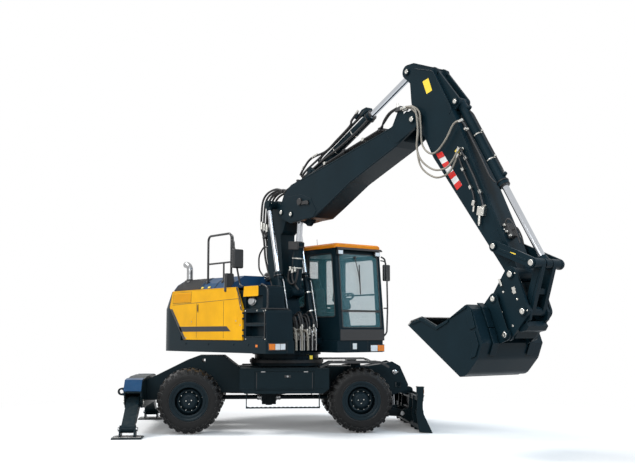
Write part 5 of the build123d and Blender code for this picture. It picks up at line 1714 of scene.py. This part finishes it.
def coupler_details():
    hook = boom("coupler_hook", "slate", "bucket", bevel=6)
    hook.plates([
        (5560, 2010), (5700, 1990), (5740, 1900), (5720, 1800), (5640, 1740), (5560, 1760),
    ], 150, 199)
    hook.prism([
        (5480, 1700), (5560, 1640), (5660, 1660), (5700, 1720), (5660, 1780), (5560, 1770),
    ], -199, 199)
    lock = boom("coupler_lock_cylinder", "gloss", "bucket")
    lock.rod((5330, -40, 1900), (5440, -40, 1700), 42, 28)
    lock.rod((5440, -40, 1700), (5490, -40, 1610), 24, 24)
    studs = boom("coupler_bolts", "zinc", "bucket")
    for x, z in ((5330, 2160), (5560, 2060), (5300, 1900), (5480, 1720)):
        studs.studs([(x, COUPLER_SIDE, z)], 11)
    for (x, z), r in ((ARM_END, 74), (COUPLER_PIN, 70)):
        studs.studs([(x + r, COUPLER_SIDE, z + 8)], 8)
    lever = boom("coupler_lever", "zinc", "bucket", bevel=4)
    lever.prism([(5262, 2330), (5294, 2330), (5330, 2240), (5304, 2232)], -262, -244)
    hoses = boom("coupler_hoses", "hose", "bucket")
    loop(hoses, [(5240, 2140), (5180, 2240), (5220, 2330), (5300, 2320), (5340, 2200)], 120, 13)
    loop(hoses, [(5240, 2110), (5150, 2200), (5200, 2300), (5290, 2290), (5330, 2180)], 160, 13)
    ribs = boom("tipping_link_ribs", "slate", "tipping_link", bevel=5)
    ribs.plates([(5800, 2430), (5850, 2430), (5690, 1985), (5640, 1990)], 140, 147)
    ribs.prism([(5720, 2200), (5780, 2190), (5760, 2120), (5700, 2130)], -76, 76)
    webs = boom("idler_ribs", "slate", "idler_links", bevel=5)
    webs.plates([(5300, 2740), (5760, 2555), (5750, 2525), (5290, 2705)], 284, 290)


pin_caps()
cylinder("lift_cylinder", "s", (657, 1479), (101, 3862), (62, 42), 1210, (-296, 296), 70, 50)
cylinder("adjust_cylinder", "", (500, 2330), ADJUST_EYE, (85, 52), 850, (0,), 72, 62)
cylinder("arm_cylinder", "", (1050, 4345), ARM_EYE, (78, 50), 1620, (0,), 68, 59)
cylinder("bucket_cylinder", "", BUCKET_RAM_PIN, ROCKER_PIN, (70, 46), 1500, (0,), 65, 55)
arm_hoses()
arm_pipes()
arm_foot()
marks()
welds_and_doublers()
boom_top()
arm_cylinder_lines()
boom_back()
adjust_cylinder_lines()
bucket_details()
coupler_details()
finish_pieces()


# ---------------------------------------------------------------- stage, lights and camera
CAMERA_TILT = radians(5.77)
FLOOR_SPAN = 90.0


def aim(direction):
    """The rotation of a camera or lamp that looks in a direction."""
    return Vector(direction).to_track_quat("-Z", "Y").to_euler()


def camera():
    view = bpy.data.cameras.new("photo_camera")
    view.sensor_width = 36.0
    view.lens = 53.22
    view.clip_end = 200.0
    eye = link_object("photo_camera", view)
    eye.location = (13.466, -9.819, 1.631)
    eye.rotation_euler = aim((-0.788 * cos(CAMERA_TILT), 0.615 * cos(CAMERA_TILT), sin(CAMERA_TILT)))
    bpy.context.scene.camera = eye


def floor_material():
    """Pale to the eye, darker to bounced light, and glowing white far from the machine."""
    n = Nodes("pale_floor")
    path = n.add("LightPath")
    direct = n.math("MAXIMUM", (path, "Is Camera Ray"), (path, "Is Glossy Ray"))
    shown = n.math("MAXIMUM", (direct, "Value"), (path, "Is Transmission Ray"))
    tone = n.mix(n.noise(3.0), "Fac", (0.79, 0.79, 0.79), (0.82, 0.82, 0.82))
    n.link(n.math("MULTIPLY", (shown, "Value"), 0.12), "Value", n.shader, "Emission Strength")
    bounce = n.mix(shown, "Value", (0.22, 0.22, 0.22), tone)
    n.dress(bounce, Roughness=0.85, Specular_IOR_Level=0.2, Emission_Color=(1, 1, 1, 1))
    distance = n.add("VectorMath", operation="LENGTH")
    n.link(n.add("NewGeometry"), "Position", distance, 0)
    far = put(n.add("MapRange", interpolation_type="SMOOTHSTEP"), From_Min=4.4, From_Max=8.0)
    n.link(distance, "Value", far, "Value")
    blend = n.add("MixShader")
    n.link(n.math("MULTIPLY", (far, "Result"), (shown, "Value")), "Value", blend, "Fac")
    n.link(n.shader, 0, blend, 1)
    n.link(put(n.add("Emission"), Strength=1.0), 0, blend, 2)
    n.link(blend, 0, n.out, "Surface")
    return n.material


def floor():
    data = bpy.data.meshes.new("floor")
    s = FLOOR_SPAN
    data.from_pydata([(-s, -s, 0), (s, -s, 0), (s, s, 0), (-s, s, 0)], [], [(0, 1, 2, 3)])
    data.materials.append(floor_material())
    link_object("floor", data)


def area(name, place, target, size, power, colour):
    data = bpy.data.lights.new(name, "AREA")
    data.shape = "RECTANGLE"
    data.size, data.size_y = size
    data.energy = power
    data.color = colour
    lamp = link_object(name, data)
    lamp.location = place
    lamp.rotation_euler = aim(Vector(target) - Vector(place))


def world():
    """Cool sky light, seen as plain white."""
    sky = bpy.data.worlds.new("studio")
    bpy.context.scene.world = sky
    sky.use_nodes = True
    new, link = sky.node_tree.nodes.new, sky.node_tree.links.new
    sky.node_tree.nodes.clear()
    light = put(new("ShaderNodeBackground"), Color=(0.90, 0.955, 1.0, 1), Strength=0.52)
    seen = put(new("ShaderNodeBackground"), Color=(1, 1, 1, 1), Strength=1.0)
    path = new("ShaderNodeLightPath")
    total = path.outputs["Is Camera Ray"]
    for ray in ("Is Transmission Ray", "Is Glossy Ray"):
        either = new("ShaderNodeMath")
        either.operation = "MAXIMUM"
        link(total, either.inputs[0])
        link(path.outputs[ray], either.inputs[1])
        total = either.outputs[0]
    blend = new("ShaderNodeMixShader")
    link(total, blend.inputs[0])
    link(light.outputs[0], blend.inputs[1])
    link(seen.outputs[0], blend.inputs[2])
    link(blend.outputs[0], new("ShaderNodeOutputWorld").inputs["Surface"])


def sun():
    data = bpy.data.lights.new("key", "SUN")
    data.energy = 2.5
    data.angle = radians(22)
    link_object("key", data).rotation_euler = aim((0.55, 0.62, -1.05))


camera()
floor()
world()
sun()
area("fill", (9, -12, 7), (1, 0, 2), (8, 6), 900, (0.95, 0.98, 1.0))
area("sky_side", (17, 3, 11), (3, 0, 3), (7, 7), 1500, (0.62, 0.82, 1.0))

bpy.context.scene.view_settings.view_transform = "Standard"
